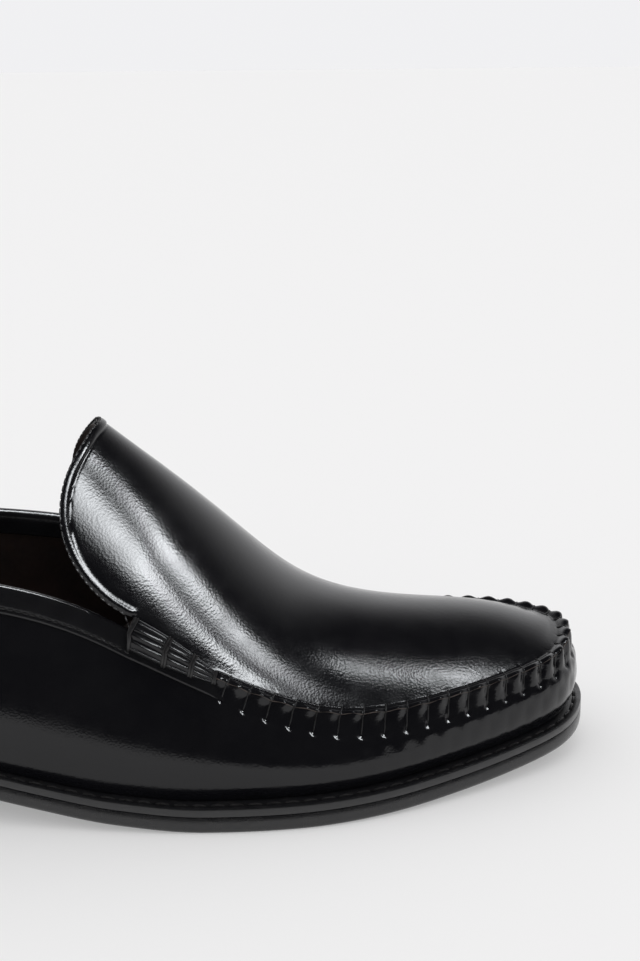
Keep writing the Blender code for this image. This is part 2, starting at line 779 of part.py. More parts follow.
def collar_frames(angle):
    """Top line points with the wall's outward and upward directions there."""
    top = top_line(angle)
    below = wall(angle, 1.0 - BINDING_DEPTH / wall_length(angle))
    up = unit(top - below)
    tangent = unit(top_line(angle + DIFFERENCE) - top_line(angle - DIFFERENCE))
    out = unit(np.cross(tangent, up))
    return top, out, up


def make_binding(material):
    """Folded band over the collar's edge, from one side roll round the heel to the other."""
    end = ROOT_ANGLE - BINDING_GAP / SOLE_LENGTH
    rear = HALF[1:ROOT]
    angle = np.concatenate([[-end], -rear[::-1], [0.0], rear, [end]])
    top, out, up = collar_frames(angle)
    near = CLEARANCE
    far = -WALL - CLEARANCE
    skin = BINDING_THICKNESS
    middle = (near + far) / 2.0
    outer = (
        (near + skin, -BINDING_DEPTH),
        (near + skin, -skin),
        (near + skin / 2.0, near + skin / 2.0),
        (middle, near + skin),
        (far - skin / 2.0, near + skin / 2.0),
        (far - skin, -skin),
        (far - skin, -BINDING_DEPTH),
    )
    inner = (
        (near, -BINDING_DEPTH),
        (near, -skin),
        (near, near),
        (middle, near),
        (far, near),
        (far, -skin),
        (far, -BINDING_DEPTH),
    )
    section = outer + inner[::-1]
    points = []
    for across, height in section:
        points.extend(top + out * across + up * height)
    count = len(angle)
    sides = len(section)
    faces = []
    for level in range(sides):
        above = (level + 1) % sides
        for i in range(count - 1):
            faces.append((level * count + i, level * count + i + 1,
                          above * count + i + 1, above * count + i))
    for level in range(len(outer) - 1):
        opposite = sides - 1 - level
        corners = (level, level + 1, opposite - 1, opposite)
        faces.append(tuple(number * count for number in corners))
        faces.append(tuple(number * count + count - 1 for number in corners[::-1]))
    return make_object("collar_binding", points, faces, material)


def make_roll(name, medial, material):
    """Corded roll over the seam's upper end: padded segments between thread wraps."""
    share = np.linspace(0.0, 1.0, ROLL_SEGMENTS * ROLL_STEPS + 1)
    along = share ** ROLL_SPACING
    angle = seam_angle(along * ROLL_LENGTH, medial)
    size = 1.0 - ROLL_TAPER * along ** 2
    if medial:
        angle = angle[::-1]
        size = size[::-1]
    across = np.linspace(-1.0, 1.0, ROLL_COLUMNS + 1)
    wave = np.abs(np.sin(share * ROLL_SEGMENTS * math.pi))
    pad = ROLL_HEIGHT * size * (ROLL_WAIST + (1.0 - ROLL_WAIST) * np.sqrt(wave))
    rim = ROLL_HEIGHT * ROLL_RIM
    skin = Skin()
    rows = []
    for side in across:
        reach = side * ROLL_WIDTH * size / 2.0
        if side <= 0.0:
            base = wall(angle, 1.0 + reach / wall_length(angle))
        else:
            base = apron_edge(angle, reach)
        round_off = math.sqrt(max(1.0 - side ** 2, 0.0))
        rows.append(skin.add(base, CLEARANCE + rim + (pad - rim) * round_off))
    for lower, upper in zip(rows, rows[1:]):
        skin.strip(lower, upper)
    inner = np.array(skin.points) + skin.normals() * CLEARANCE
    points, faces = skin.body(inner)
    return make_object(name, points, faces, material)


def place_on_origin(items):
    """Moves the shoe so that the middle of the sole's outline stands over the origin."""
    outline = sole_edge(np.linspace(0.0, TURN, OUTLINE_SAMPLES))
    middle = (outline.min(axis=0) + outline.max(axis=0)) / 2.0
    for item in items:
        item.location = (-middle[0], -middle[1], 0.0)


def main():
    for item in list(bpy.data.objects):
        bpy.data.objects.remove(item, do_unlink=True)
    leather = make_material(BLACK_LEATHER)
    edge = make_material(EDGE_INK)
    rubber = make_material(RUBBER)
    lining = make_material(BROWN_LEATHER)
    make_outsole(edge)
    make_heel(edge, rubber)
    make_welt(edge)
    make_insole(lining)
    make_upper(leather)
    make_binding(leather)
    make_roll("side_roll_lateral", False, leather)
    make_roll("side_roll_medial", True, leather)
    place_on_origin(bpy.context.scene.objects)


main()
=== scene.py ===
"""Looks of the right venetian loafer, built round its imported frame.

The form below repeats the part's own sizes and sections in the shoe's own plan: metres, x from
the heel's back edge, y towards the inner side, z up. Pieces are moved to the frame's origin as
they are made.
"""

import math
from collections import namedtuple

import bmesh
import bpy
import numpy as np
from mathutils import Matrix, Vector
from mathutils.bvhtree import BVHTree


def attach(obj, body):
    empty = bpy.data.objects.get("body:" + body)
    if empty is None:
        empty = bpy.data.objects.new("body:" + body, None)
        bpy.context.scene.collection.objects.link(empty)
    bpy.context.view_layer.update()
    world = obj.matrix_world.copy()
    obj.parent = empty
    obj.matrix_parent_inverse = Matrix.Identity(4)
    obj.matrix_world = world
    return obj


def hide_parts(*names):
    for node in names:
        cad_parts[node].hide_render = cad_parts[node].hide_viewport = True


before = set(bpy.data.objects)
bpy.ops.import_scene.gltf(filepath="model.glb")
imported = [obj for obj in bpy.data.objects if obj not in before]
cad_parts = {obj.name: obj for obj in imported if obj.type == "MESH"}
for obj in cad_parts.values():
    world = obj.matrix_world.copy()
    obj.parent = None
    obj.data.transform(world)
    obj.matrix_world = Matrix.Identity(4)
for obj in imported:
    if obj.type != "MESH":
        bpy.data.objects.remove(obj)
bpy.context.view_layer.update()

# Sole
SOLE_LENGTH = 0.300
BALL_WIDTH = 0.100
HEEL_WIDTH = 0.067
OUTSOLE_THICKNESS = 0.0046
WELT_THICKNESS = 0.0024
INSOLE_THICKNESS = 0.0032
TOE_SPRING = 0.0066
ARCH_LIFT = 0.0022
ARCH_SPAN = (0.27, 0.61)
ARCH_RAMP = 0.17

# Heel
HEEL_LIFT = 0.0210
TOP_PIECE_THICKNESS = 0.0060
HEEL_LENGTH = 0.078
HEEL_SETBACK = 0.0004
HEEL_TAPER = 0.0012
HEEL_PITCH = 0.0035

# Upper
WALL = 0.0020
LEDGE = 0.0050
COLLAR_HEIGHT = 0.088
SEAM_HEIGHT = 0.030
WALL_SWELL = 0.0042
TONGUE_HEIGHT = 0.1035
TONGUE_SETBACK = 0.142
TONGUE_TIP_RADIUS = 0.0225
TONGUE_TIP_DEPTH = 0.0385
SEAM_RIDGE_HEIGHT = 0.0022
SEAM_RIDGE_REACH = 0.0034
APRON_EDGE = 0.0045

# Trim
BINDING_THICKNESS = 0.0010
ROLL_LENGTH = 0.026
ROLL_WIDTH = 0.0088
ROLL_HEIGHT = 0.0038
ROLL_TAPER = 0.65
ROLL_SEGMENTS = 3
ROLL_SPACING = 0.8
ROLL_WAIST = 0.72

# Fit between neighbouring pieces
CLEARANCE = 0.0003
WELT_BASE = OUTSOLE_THICKNESS + CLEARANCE
UPPER_BASE = WELT_BASE + WELT_THICKNESS + CLEARANCE

OUTLINE_SAMPLES = 361
CREST_ROUNDS = 30

# Outline of the sole: half widths as shares of the heel width and of the ball width
EdgeRow = namedtuple("EdgeRow", "along lat_heel lat_ball med_heel med_ball")
SOLE_EDGE = (
    EdgeRow(0.03, 0.276, 0.000, 0.276, 0.000),
    EdgeRow(0.12, 0.492, 0.000, 0.492, 0.000),
    EdgeRow(0.25, 0.515, 0.000, 0.492, 0.000),
    EdgeRow(0.40, 0.280, 0.217, 0.280, 0.123),
    EdgeRow(0.52, 0.070, 0.434, 0.070, 0.309),
    EdgeRow(0.64, 0.000, 0.520, 0.000, 0.460),
    EdgeRow(0.75, 0.000, 0.487, 0.000, 0.496),
    EdgeRow(0.85, 0.000, 0.368, 0.000, 0.468),
    EdgeRow(0.93, 0.000, 0.233, 0.000, 0.390),
    EdgeRow(0.98, 0.000, 0.099, 0.000, 0.261),
)
TOE_POINT = 0.110

# Height of the outsole's underside: shares of the heel lift behind, of the toe spring in front
RiseRow = namedtuple("RiseRow", "along heel_lift toe_spring")
RISE = (
    RiseRow(0.00, 1.000, 0.00),
    RiseRow(0.12, 0.985, 0.00),
    RiseRow(0.25, 0.880, 0.00),
    RiseRow(0.32, 0.715, 0.00),
    RiseRow(0.40, 0.440, 0.00),
    RiseRow(0.47, 0.245, 0.00),
    RiseRow(0.54, 0.085, 0.00),
    RiseRow(0.62, 0.000, 0.00),
    RiseRow(0.70, 0.000, 0.00),
    RiseRow(0.78, 0.000, 0.075),
    RiseRow(0.86, 0.000, 0.290),
    RiseRow(0.93, 0.000, 0.590),
    RiseRow(1.00, 0.000, 1.000),
)

# Welt ledge in front of the upper, as a share of LEDGE, along the length
LedgeRow = namedtuple("LedgeRow", "along share")
LEDGES = (
    LedgeRow(0.00, 0.50),
    LedgeRow(0.25, 0.55),
    LedgeRow(0.45, 0.75),
    LedgeRow(0.65, 1.00),
    LedgeRow(0.85, 0.95),
    LedgeRow(1.00, 0.85),
)

# Top line: collar behind the tongue's root, apron seam before it.
# Insets from the sole's edge are shares of the ball width.
# The climb is 0 at SEAM_HEIGHT and 1 at COLLAR_HEIGHT.
TopRow = namedtuple("TopRow", "along lat_inset med_inset lat_climb med_climb")
TOP_LINE = (
    TopRow(0.04, 0.070, 0.070, 0.97, 0.98),
    TopRow(0.18, 0.075, 0.070, 0.78, 0.88),
    TopRow(0.34, 0.112, 0.061, 0.64, 0.73),
    TopRow(0.50, 0.161, 0.056, 0.47, 0.61),
    TopRow(0.62, 0.146, 0.084, 0.18, 0.37),
    TopRow(0.74, 0.105, 0.086, -0.03, 0.09),
    TopRow(0.85, 0.069, 0.076, -0.04, 0.04),
    TopRow(0.94, 0.050, 0.058, 0.01, 0.06),
)
HEEL_INSET = 0.075
TOE_INSET = 0.056
TOE_CLIMB = 0.065

# Swell of the wall outside its chord, as a share of WALL_SWELL, and how low it sits
SwellRow = namedtuple("SwellRow", "along lateral medial low")
SWELL = (
    SwellRow(0.10, 1.00, 1.00, 1.9),
    SwellRow(0.30, 1.05, 1.00, 1.7),
    SwellRow(0.50, 1.25, 0.90, 1.5),
    SwellRow(0.70, 1.10, 1.10, 1.3),
    SwellRow(0.88, 0.85, 0.90, 1.2),
)
HEEL_SWELL = 0.80
TOE_SWELL = 0.75
HEEL_LOW = 2.0
TOE_LOW = 1.2

# Where the tongue's root lies on the top line, as a share of the sole's length
ROOT_ALONG = 0.547

# Crest of apron and tongue, from the apron's front edge back to the tongue's tip
CrestRow = namedtuple("CrestRow", "back climb")
CREST = (
    CrestRow(0.00, 0.000),
    CrestRow(0.11, 0.062),
    CrestRow(0.27, 0.107),
    CrestRow(0.43, 0.156),
    CrestRow(0.575, 0.262),
    CrestRow(0.717, 0.508),
    CrestRow(0.859, 0.767),
    CrestRow(1.00, 1.000),
)

# Apron sections by station along the sole, in degrees: slope at the seam, forward tilt,
# and how far the section turns from its crest to its edge
ApronRow = namedtuple("ApronRow", "along slope tilt fullness")
APRON = (
    ApronRow(0.45, 82.0, 26.0, 82.0),
    ApronRow(0.55, 77.0, 23.5, 81.0),
    ApronRow(0.62, 62.0, 20.0, 73.0),
    ApronRow(0.74, 42.0, 14.0, 60.0),
    ApronRow(0.85, 35.0, 8.0, 52.0),
    ApronRow(0.94, 27.0, 3.0, 47.0),
    ApronRow(1.00, 18.0, 0.0, 45.0),
)
TONGUE_TIP_TILT = 58.0
TONGUE_ROUNDNESS = (2.9, 1.9)
TONGUE_FLARE = 0.08
TONGUE_FLARE_END = 0.8
FLATTENING_LIMIT = 0.7

FLARE_PEAK = 27.0 / 4.0
TURN = 2.0 * math.pi
DIFFERENCE = 1e-4


def spline(knots, values, at):
    """Natural cubic spline through the knots."""
    knots = np.asarray(knots, float)
    values = np.asarray(values, float)
    step = np.diff(knots)
    count = len(knots)
    matrix = np.eye(count)
    right = np.zeros(count)
    for i in range(1, count - 1):
        matrix[i, i - 1:i + 2] = step[i - 1], 2.0 * (step[i - 1] + step[i]), step[i]
        right[i] = 6.0 * ((values[i + 1] - values[i]) / step[i]
                          - (values[i] - values[i - 1]) / step[i - 1])
    bend = np.linalg.solve(matrix, right)
    i = np.clip(np.searchsorted(knots, at, side="right") - 1, 0, count - 2)
    width = step[i]
    b = (at - knots[i]) / width
    a = 1.0 - b
    return (a * values[i] + b * values[i + 1]
            + ((a ** 3 - a) * bend[i] + (b ** 3 - b) * bend[i + 1]) * width ** 2 / 6.0)


def steady(knots, values, at):
    """Cubic curve through the knots that never overshoots them, so a flat stretch stays flat."""
    knots = np.asarray(knots, float)
    values = np.asarray(values, float)
    step = np.diff(knots)
    rate = np.diff(values) / step
    slope = np.zeros(len(knots))
    for i in range(1, len(knots) - 1):
        if rate[i - 1] * rate[i] > 0.0:
            slope[i] = 2.0 * rate[i - 1] * rate[i] / (rate[i - 1] + rate[i])
    slope[-1] = rate[-1]
    i = np.clip(np.searchsorted(knots, at, side="right") - 1, 0, len(knots) - 2)
    width = step[i]
    b = (at - knots[i]) / width
    return ((1.0 + 2.0 * b) * (1.0 - b) ** 2 * values[i] + b * (1.0 - b) ** 2 * width * slope[i]
            + b * b * (3.0 - 2.0 * b) * values[i + 1] - b * b * (1.0 - b) * width * slope[i + 1])


def ring_angle(along):
    """Angle round the shoe of a share of its length: 0 at the heel, half a turn at the toe."""
    return np.arccos(1.0 - 2.0 * np.asarray(along, float))


def share_along(angle):
    """Share of the length at an angle round the shoe."""
    return (1.0 - np.cos(angle)) / 2.0


def around(rows, lateral, medial, heel, toe, angle):
    """Closed smooth curve of one value: heel, lateral rows, toe, medial rows."""
    theta = ring_angle([row.along for row in rows])
    knots = np.concatenate([[0.0], theta, [math.pi], TURN - theta[::-1]])
    values = np.concatenate([[heel], lateral, [toe], medial[::-1]])
    laps = np.concatenate([knots - TURN, knots, knots + TURN])
    return spline(laps, np.tile(values, 3), np.mod(angle, TURN))


def unit(vector):
    """Vectors scaled to length 1 along the last axis."""
    return vector / np.linalg.norm(vector, axis=-1, keepdims=True)


def sole_edge(angle):
    """Plan point of the sole's edge."""
    lateral = [-(row.lat_heel * HEEL_WIDTH + row.lat_ball * BALL_WIDTH) for row in SOLE_EDGE]
    medial = [row.med_heel * HEEL_WIDTH + row.med_ball * BALL_WIDTH for row in SOLE_EDGE]
    y = around(SOLE_EDGE, lateral, medial, 0.0, TOE_POINT * BALL_WIDTH, angle)
    return np.stack([SOLE_LENGTH * share_along(angle), y], -1)


def inward(curve, angle):
    """Unit plan vector pointing into the shoe, square to a closed plan curve."""
    tangent = curve(angle + DIFFERENCE)[..., :2] - curve(angle - DIFFERENCE)[..., :2]
    return unit(np.stack([-tangent[..., 1], tangent[..., 0]], -1))


def inside_edge(angle, inset):
    """Plan point at an inset inside the sole's edge."""
    inset = np.asarray(inset, float)[..., None]
    return sole_edge(angle) + inward(sole_edge, angle) * inset


def rise(x, y):
    """Height of the outsole's underside above the floor."""
    along = np.clip(x / SOLE_LENGTH, 0.0, 1.0)
    behind = steady([row.along for row in RISE], [row.heel_lift for row in RISE], along)
    ahead = steady([row.along for row in RISE], [row.toe_spring for row in RISE], along)
    waist = np.minimum(along - ARCH_SPAN[0], ARCH_SPAN[1] - along) / ARCH_RAMP
    waist = np.clip(waist, 0.0, 1.0)
    side = np.clip(y / (BALL_WIDTH / 2.0), 0.0, 1.0)
    arch = ARCH_LIFT * waist ** 2 * (3.0 - 2.0 * waist) * side ** 2
    return HEEL_LIFT * behind + TOE_SPRING * ahead + arch


def on_level(plan, height):
    """Plan points lifted to a height above the outsole's underside."""
    z = rise(plan[..., 0], plan[..., 1]) + height
    return np.concatenate([plan, z[..., None]], -1)


def ledge(angle):
    """Width of the welt that shows round the upper."""
    along = share_along(angle)
    return LEDGE * spline([row.along for row in LEDGES], [row.share for row in LEDGES], along)


def feather(angle):
    """Lower edge of the upper's outer face."""
    return on_level(inside_edge(angle, ledge(angle)), UPPER_BASE)


def top_line(angle):
    """Upper edge of the wall: the collar behind the root, the apron seam in front."""
    inset = around(TOP_LINE, [row.lat_inset for row in TOP_LINE],
                   [row.med_inset for row in TOP_LINE], HEEL_INSET, TOE_INSET, angle)
    climb = around(TOP_LINE, [row.lat_climb for row in TOP_LINE],
                   [row.med_climb for row in TOP_LINE], 1.0, TOE_CLIMB, angle)
    plan = inside_edge(angle, inset * BALL_WIDTH)
    z = SEAM_HEIGHT + (COLLAR_HEIGHT - SEAM_HEIGHT) * climb
    return np.concatenate([plan, z[..., None]], -1)


def wall(angle, up):
    """Point of the wall's outer face, from the feather edge (0) to the top line (1)."""
    foot = feather(angle)
    chord = top_line(angle) - foot
    amount = WALL_SWELL * around(SWELL, [row.lateral for row in SWELL],
                                 [row.medial for row in SWELL], HEEL_SWELL, TOE_SWELL, angle)
    low_rows = [row.low for row in SWELL]
    low = around(SWELL, low_rows, low_rows, HEEL_LOW, TOE_LOW, angle)
    peak = (low + 1.0) ** (low + 1.0) / low ** low
    swell = amount * peak * up * (1.0 - up) ** low
    out = np.concatenate([-inward(sole_edge, angle), np.zeros(np.shape(angle) + (1,))], -1)
    return foot + chord * up[..., None] + out * swell[..., None]


def wall_length(angle):
    """Straight length from the feather edge to the top line."""
    return np.linalg.norm(top_line(angle) - feather(angle), axis=-1)


def apron_value(column, angle):
    """Smooth value of one column of the apron's table at an angle round the shoe."""
    along = [row.along for row in APRON]
    return spline(along, [getattr(row, column) for row in APRON], share_along(angle))


def seam_side(angle):
    """Directions on the apron at the seam: across the shoe's inside, and up its sloping edge."""
    near_toe = np.where(np.abs(angle - math.pi) < DIFFERENCE, math.pi - DIFFERENCE, angle)
    half = top_line(TURN - near_toe) - top_line(near_toe)
    slant = half[..., 2] / half[..., 1]
    plan = inward(top_line, angle)
    across = unit(np.stack([plan[..., 0], plan[..., 1], plan[..., 1] * slant], -1))
    tilt = np.radians(apron_value("tilt", angle))
    up = np.stack([np.sin(tilt), np.zeros_like(tilt), np.cos(tilt)], -1)
    return across, up


def apron_edge(angle, reach):
    """Point on the apron at a reach from the seam, measured up its sloping edge."""
    across, up = seam_side(angle)
    slope = np.radians(apron_value("slope", angle))[..., None]
    reach = np.asarray(reach, float)[..., None]
    return top_line(angle) + reach * (across * np.cos(slope) + up * np.sin(slope))


ROOT_ANGLE = float(ring_angle(ROOT_ALONG))
TOE_ANGLE = np.array([math.pi])
APRON_FRONT = apron_edge(TOE_ANGLE, APRON_EDGE)[0]
TONGUE_TIP_X = SOLE_LENGTH - TONGUE_SETBACK


def crest_height(x):
    """Height of the crest line of apron and tongue at a place along the shoe."""
    back = (APRON_FRONT[0] - x) / (APRON_FRONT[0] - TONGUE_TIP_X)
    climb = spline([row.back for row in CREST], [row.climb for row in CREST], back)
    return APRON_FRONT[2] + (TONGUE_HEIGHT - APRON_FRONT[2]) * climb


# Cross sections: crest point, sideways and downward vectors, turn from crest to seam,
# flattening of the flanks, and turn from crest to free edge
Sections = namedtuple("Sections", "top side down full flat edge")


def apron_sections(angle):
    """Sections of the apron at angles on the lateral side, each paired with its medial twin."""
    left = apron_edge(angle, np.full_like(angle, APRON_EDGE))
    right = apron_edge(TURN - angle, np.full_like(angle, APRON_EDGE))
    middle = (left + right) / 2.0
    lean = np.tan(np.radians(apron_value("tilt", angle)))
    x = middle[..., 0]
    for _ in range(CREST_ROUNDS):
        x = (x + middle[..., 0] + lean * (crest_height(x) - middle[..., 2])) / 2.0
    top = np.stack([x, middle[..., 1], crest_height(x)], -1)
    half = (right - left) / 2.0
    height = top - middle
    across = np.abs(inward(top_line, angle)[..., 1])
    slope = np.tan(np.radians(apron_value("slope", angle))) * across
    full = np.radians(apron_value("fullness", angle))
    wanted = slope * np.linalg.norm(half, axis=-1) / np.linalg.norm(height, axis=-1)
    flat = np.clip(wanted * np.cos(full) / (1.0 + np.cos(full)) - 1.0,
                   -FLATTENING_LIMIT, FLATTENING_LIMIT)
    side = half / np.sin(full)[..., None]
    down = -height / (1.0 - np.cos(full))[..., None]
    return Sections(top, side, down, full, flat, full)


def arcs(sections, share):
    """Points of the sections at shares of the turn from the crest to the edge, -1 to 1."""
    turn = sections.edge[:, None] * share
    fall = 1.0 - np.cos(turn)
    left = 1.0 - fall / (1.0 - np.cos(sections.full))[:, None]
    drop = fall * (1.0 - sections.flat[:, None] * left)
    return (sections.top[:, None] + sections.side[:, None] * np.sin(turn)[..., None]
            + sections.down[:, None] * drop[..., None])


def tongue_sections(share):
    """Sections of the tongue beyond its root, carried on smoothly from the apron's last one."""
    root = apron_sections(np.array([ROOT_ANGLE, ROOT_ANGLE + DIFFERENCE]))
    span = TONGUE_TIP_X - root.top[0, 0]
    step = root.top[1, 0] - root.top[0, 0]
    tip_tilt = math.radians(TONGUE_TIP_TILT)
    tip_side = np.array([0.0, TONGUE_TIP_RADIUS, 0.0])
    tip_down = -TONGUE_TIP_DEPTH * np.array([math.sin(tip_tilt), 0.0, math.cos(tip_tilt)])
    t = share[:, None]
    start = 2.0 * t ** 3 - 3.0 * t ** 2 + 1.0
    leave = (t ** 3 - 2.0 * t ** 2 + t) * span / step

    def carried(values, tip):
        return start * values[0] + leave * (values[1] - values[0]) + (1.0 - start) * tip

    blunt, round_off = TONGUE_ROUNDNESS
    x = root.top[0, 0] + span * share
    y = carried(root.top[:, 1:2], 0.0)[:, 0]
    top = np.stack([x, y, crest_height(x)], -1)
    flat = carried(root.flat[:, None], 0.0)[:, 0]
    full = np.full_like(share, root.full[0])
    left = np.clip(share / TONGUE_FLARE_END, 0.0, 1.0)
    flare = TONGUE_FLARE * FLARE_PEAK * left * (1.0 - left) ** 2
    edge = full * (np.maximum(1.0 - share ** blunt, 0.0) ** (1.0 / round_off) + flare)
    return Sections(top, carried(root.side, tip_side), carried(root.down, tip_down),
                    full, flat, edge)


# Looks: leather and lining
LEATHER = 0.0012
LIP_THICKNESS = 0.0004
VAMP_LIP_WIDTH = 0.0040
PLUG_LIP_SHARE = 1.0 / 1.4
LINING_FROM = 0.0013
LINING_GAP = 0.00005
LINING_STOP = SEAM_RIDGE_REACH + 0.0008
LINING_ROWS = 16
LINING_COLUMNS = 24
TONGUE_LEATHER = 0.0022
TONGUE_LINING = 0.0003
TONGUE_EDGE_INSET = 0.0011
TONGUE_TIP_INSET = 0.03
TONGUE_INSET_RAMP = 0.15
BEAD_WIDTH = 0.0024
BEAD_HEIGHT = 0.00050
CREASE_DEPTH = 0.00025
CREASE_WIDTH = 0.00030

# Looks: the hand-sewn seam. Reaches are measured over the seam line, negative down the wall.
PLEAT_PITCH = 0.0064
PLEAT_LEAN = 0.35
LEAN_TURN = 0.02
RIDGE_FOOT = 0.0046
RIDGE_TUCK = 0.0021
RIDGE_SHOULDER = 0.0011 / 3.0
RIDGE_RAMP = 0.0040
RIDGE_RISE = 0.0024
RIDGE_FACE_HEIGHT = 0.46
RIDGE_FACE_RAMP = 0.0030
RIDGE_TURN = 0.0060
WAIST_AT = 0.45
WAIST_WIDTH = 0.5
DENT_DEPTHS = (0.45, 0.75)
LUMP_SHARE = 0.62
PILLAR_SHARPNESS = 1.7
PLEAT_DEPTH = 0.00062
PLEAT_FADE = 0.0048
PLEAT_RAMP = 0.0020
FLUTE_SHARPNESS = 1.2
FLUTE_MEAN = 0.55
HOLE_DEPTH = 0.0005
HOLE_RADIUS = 0.0007
HOLE_BELOW = 0.0002
PLUG_HOLE_AT = 0.0024
PLUG_HOLE_DEPTH = 0.00006
FOOT_SWELL = 0.00065
FOOT_SWELL_RADIUS = 0.0021
FOOT_SWELL_BELOW = 0.0018
SEAM_THREAD = 0.00023
RAW_EDGE = 0.00016
RAW_EDGE_REACH = -0.0002
RAW_EDGE_LIFT = 0.00004

# Looks: stitches
FINE_STITCH = 0.0021
FINE_THREAD = 0.00026
TONGUE_STITCH_INSET = 0.0034
WELT_STITCH = 0.0050
WELT_THREAD = 0.00040
WELT_CHANNEL_AT = 0.52

# Looks: collar band. Sections give depths below the top line, or shares of the strip's depth,
# and heights over the wall as shares of the band's thickness.
BAND_DEPTH = 0.0064
BAND_THICKNESS = 0.0008
BAND_STITCH_AT = 0.0050
BAND_FOLD_DROP = 0.0009
BAND_SECTION = (
    (BAND_DEPTH, -0.0002), (BAND_DEPTH, 0.45), (BAND_DEPTH - 0.0003, 0.85),
    (BAND_DEPTH - 0.0008, 1.0), (BAND_STITCH_AT + 0.0005, 0.95), (BAND_STITCH_AT, 0.62),
    (BAND_STITCH_AT - 0.0005, 0.95), (BAND_STITCH_AT - 0.0012, 1.05),
    (BAND_STITCH_AT - 0.0024, 1.1), (0.0014, 1.05),
)
FOLD_TURNS = (28.0, 52.0, 75.0, 98.0, 121.0, 145.0, 170.0)
FACING_SECTION = ((1.0, -0.3), (1.0, 0.45), (0.95, 0.85), (0.87, 1.0), (0.6, 1.05),
                  (0.3, 1.05), (0.05, 1.0), (0.05, -0.3))

# Looks: side rolls
ROLL_RIBS = 5
ROLL_RIB_DEPTH = 0.00085
RIB_SHARPNESS = 0.7
NECK_RIB_SHARE = 0.35
ROLL_STEPS = 25
ROLL_COLUMNS = 81
WRAP_THREAD = 0.00042
WRAP_TURNS = 2
WRAP_PITCH = 1.8 * WRAP_THREAD
WRAP_LEAN = 0.0004

# Looks: heel
HEEL_LIFTS = 3
HEEL_GROOVE = 0.00022
JOINT = 1.0 - TOP_PIECE_THICKNESS / HEEL_LIFT

# Looks: resolution
SEAM_STEP = 0.0006
REAR_STATIONS = 300
LOW_ROWS = 24
RIDGE_ROWS = 26
RIDGE_ZONE = 0.0092
BAND_ROWS = 10
TONGUE_GRID = 64
COLUMNS = 64
PROBE = 0.0010
HALF_RING = np.linspace(0.0, math.pi, 321)
RIM_ANGLES = np.linspace(0.0, TURN, 641)[:-1]


def smooth(value):
    """Smooth step from 0 to 1."""
    value = np.clip(value, 0.0, 1.0)
    return value * value * (3.0 - 2.0 * value)


def middle_of_sole():
    """The place in the shoe's own plan that stands over the frame's origin."""
    outline = sole_edge(np.linspace(0.0, TURN, OUTLINE_SAMPLES))
    return np.append((outline.min(axis=0) + outline.max(axis=0)) / 2.0, 0.0)


MIDDLE = middle_of_sole()


# Meshes
def mesh_normals(points, faces):
    """Outward direction at every point, from lists of triangles and quads."""
    total = np.zeros_like(points)
    for group in faces:
        a, b, c, d = (points[group[:, corner]] for corner in (0, 1, 2, -1))
        across = np.cross(c - a, d - b) if group.shape[1] == 4 else np.cross(b - a, c - a)
        for corner in range(group.shape[1]):
            np.add.at(total, group[:, corner], across)
    return total / np.maximum(np.linalg.norm(total, axis=1, keepdims=True), 1e-20)


def numbered(grid, first=0):
    """Numbers of a grid's points, counted on from the first."""
    return first + np.arange(grid.size // 3).reshape(grid.shape[:2])


def grid_faces(numbers, closed=False):
    """Quads over a grid of point numbers."""
    grid = np.concatenate([numbers, numbers[:, :1]], 1) if closed else numbers
    quads = np.stack([grid[:-1, :-1], grid[:-1, 1:], grid[1:, 1:], grid[1:, :-1]], -1)
    return quads.reshape(-1, 4)


def shade(mesh):
    """Smooth shading with sharp folds."""
    mesh.shade_smooth()
    mesh.set_sharp_from_angle(angle=math.radians(50.0))


def new_piece(name, points, faces, material, replaced=()):
    """Piece of the shoe that rides on its frame."""
    rows = [tuple(face) for group in faces for face in group.tolist()]
    mesh = bpy.data.meshes.new(name)
    mesh.from_pydata((points - MIDDLE).tolist(), [], rows)
    mesh.materials.append(material)
    shade(mesh)
    mesh.validate()
    piece = bpy.data.objects.new(name, mesh)
    bpy.context.scene.collection.objects.link(piece)
    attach(piece, "root")
    if replaced:
        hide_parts(*replaced)
    return piece


def bar_piece(name, rows, material, replaced=(), endless=False):
    """Piece with a closed section, from its rows of points: an endless ring, or with flat ends."""
    rows = np.stack(rows)
    numbers = numbered(rows)
    faces = [grid_faces(np.concatenate([numbers, numbers[:1]]), endless)]
    if not endless:
        faces += [numbers[:, 0][None], numbers[::-1, -1][None]]
    return new_piece(name, rows.reshape(-1, 3), faces, material, replaced)


class Cloth:
    """Open surface collected as points and faces."""

    def __init__(self):
        self.parts = []
        self.count = 0
        self.faces = []

    def add(self, grid):
        numbers = self.count + np.arange(grid.size // 3).reshape(grid.shape[:-1])
        self.parts.append(grid.reshape(-1, 3))
        self.count += numbers.size
        return numbers

    def grid(self, numbers, closed=False):
        self.faces.append(grid_faces(numbers, closed))

    def fan(self, row, tip):
        self.faces.append(np.stack([row[:-1], row[1:], np.full(len(row) - 1, tip)], -1))

    def points(self):
        return np.concatenate(self.parts)


def merged(groups):
    """Face arrays joined by their number of corners."""
    return [np.concatenate([group for group in groups if group.shape[1] == corners])
            for corners in sorted({group.shape[1] for group in groups})]


def join(parts):
    """One set of points and faces from many."""
    points, groups, count = [], [], 0
    for part, faces in parts:
        points.append(part)
        groups += [group + count for group in faces]
        count += len(part)
    return np.concatenate(points), merged(groups)


def border(groups):
    """Directed edges that only one face uses."""
    pairs = np.concatenate([np.stack([group, np.roll(group, -1, axis=1)], -1).reshape(-1, 2)
                            for group in groups])
    size = int(pairs.max()) + 1
    forward = pairs[:, 0] * size + pairs[:, 1]
    backward = pairs[:, 1] * size + pairs[:, 0]
    return pairs[~np.isin(forward, backward)]


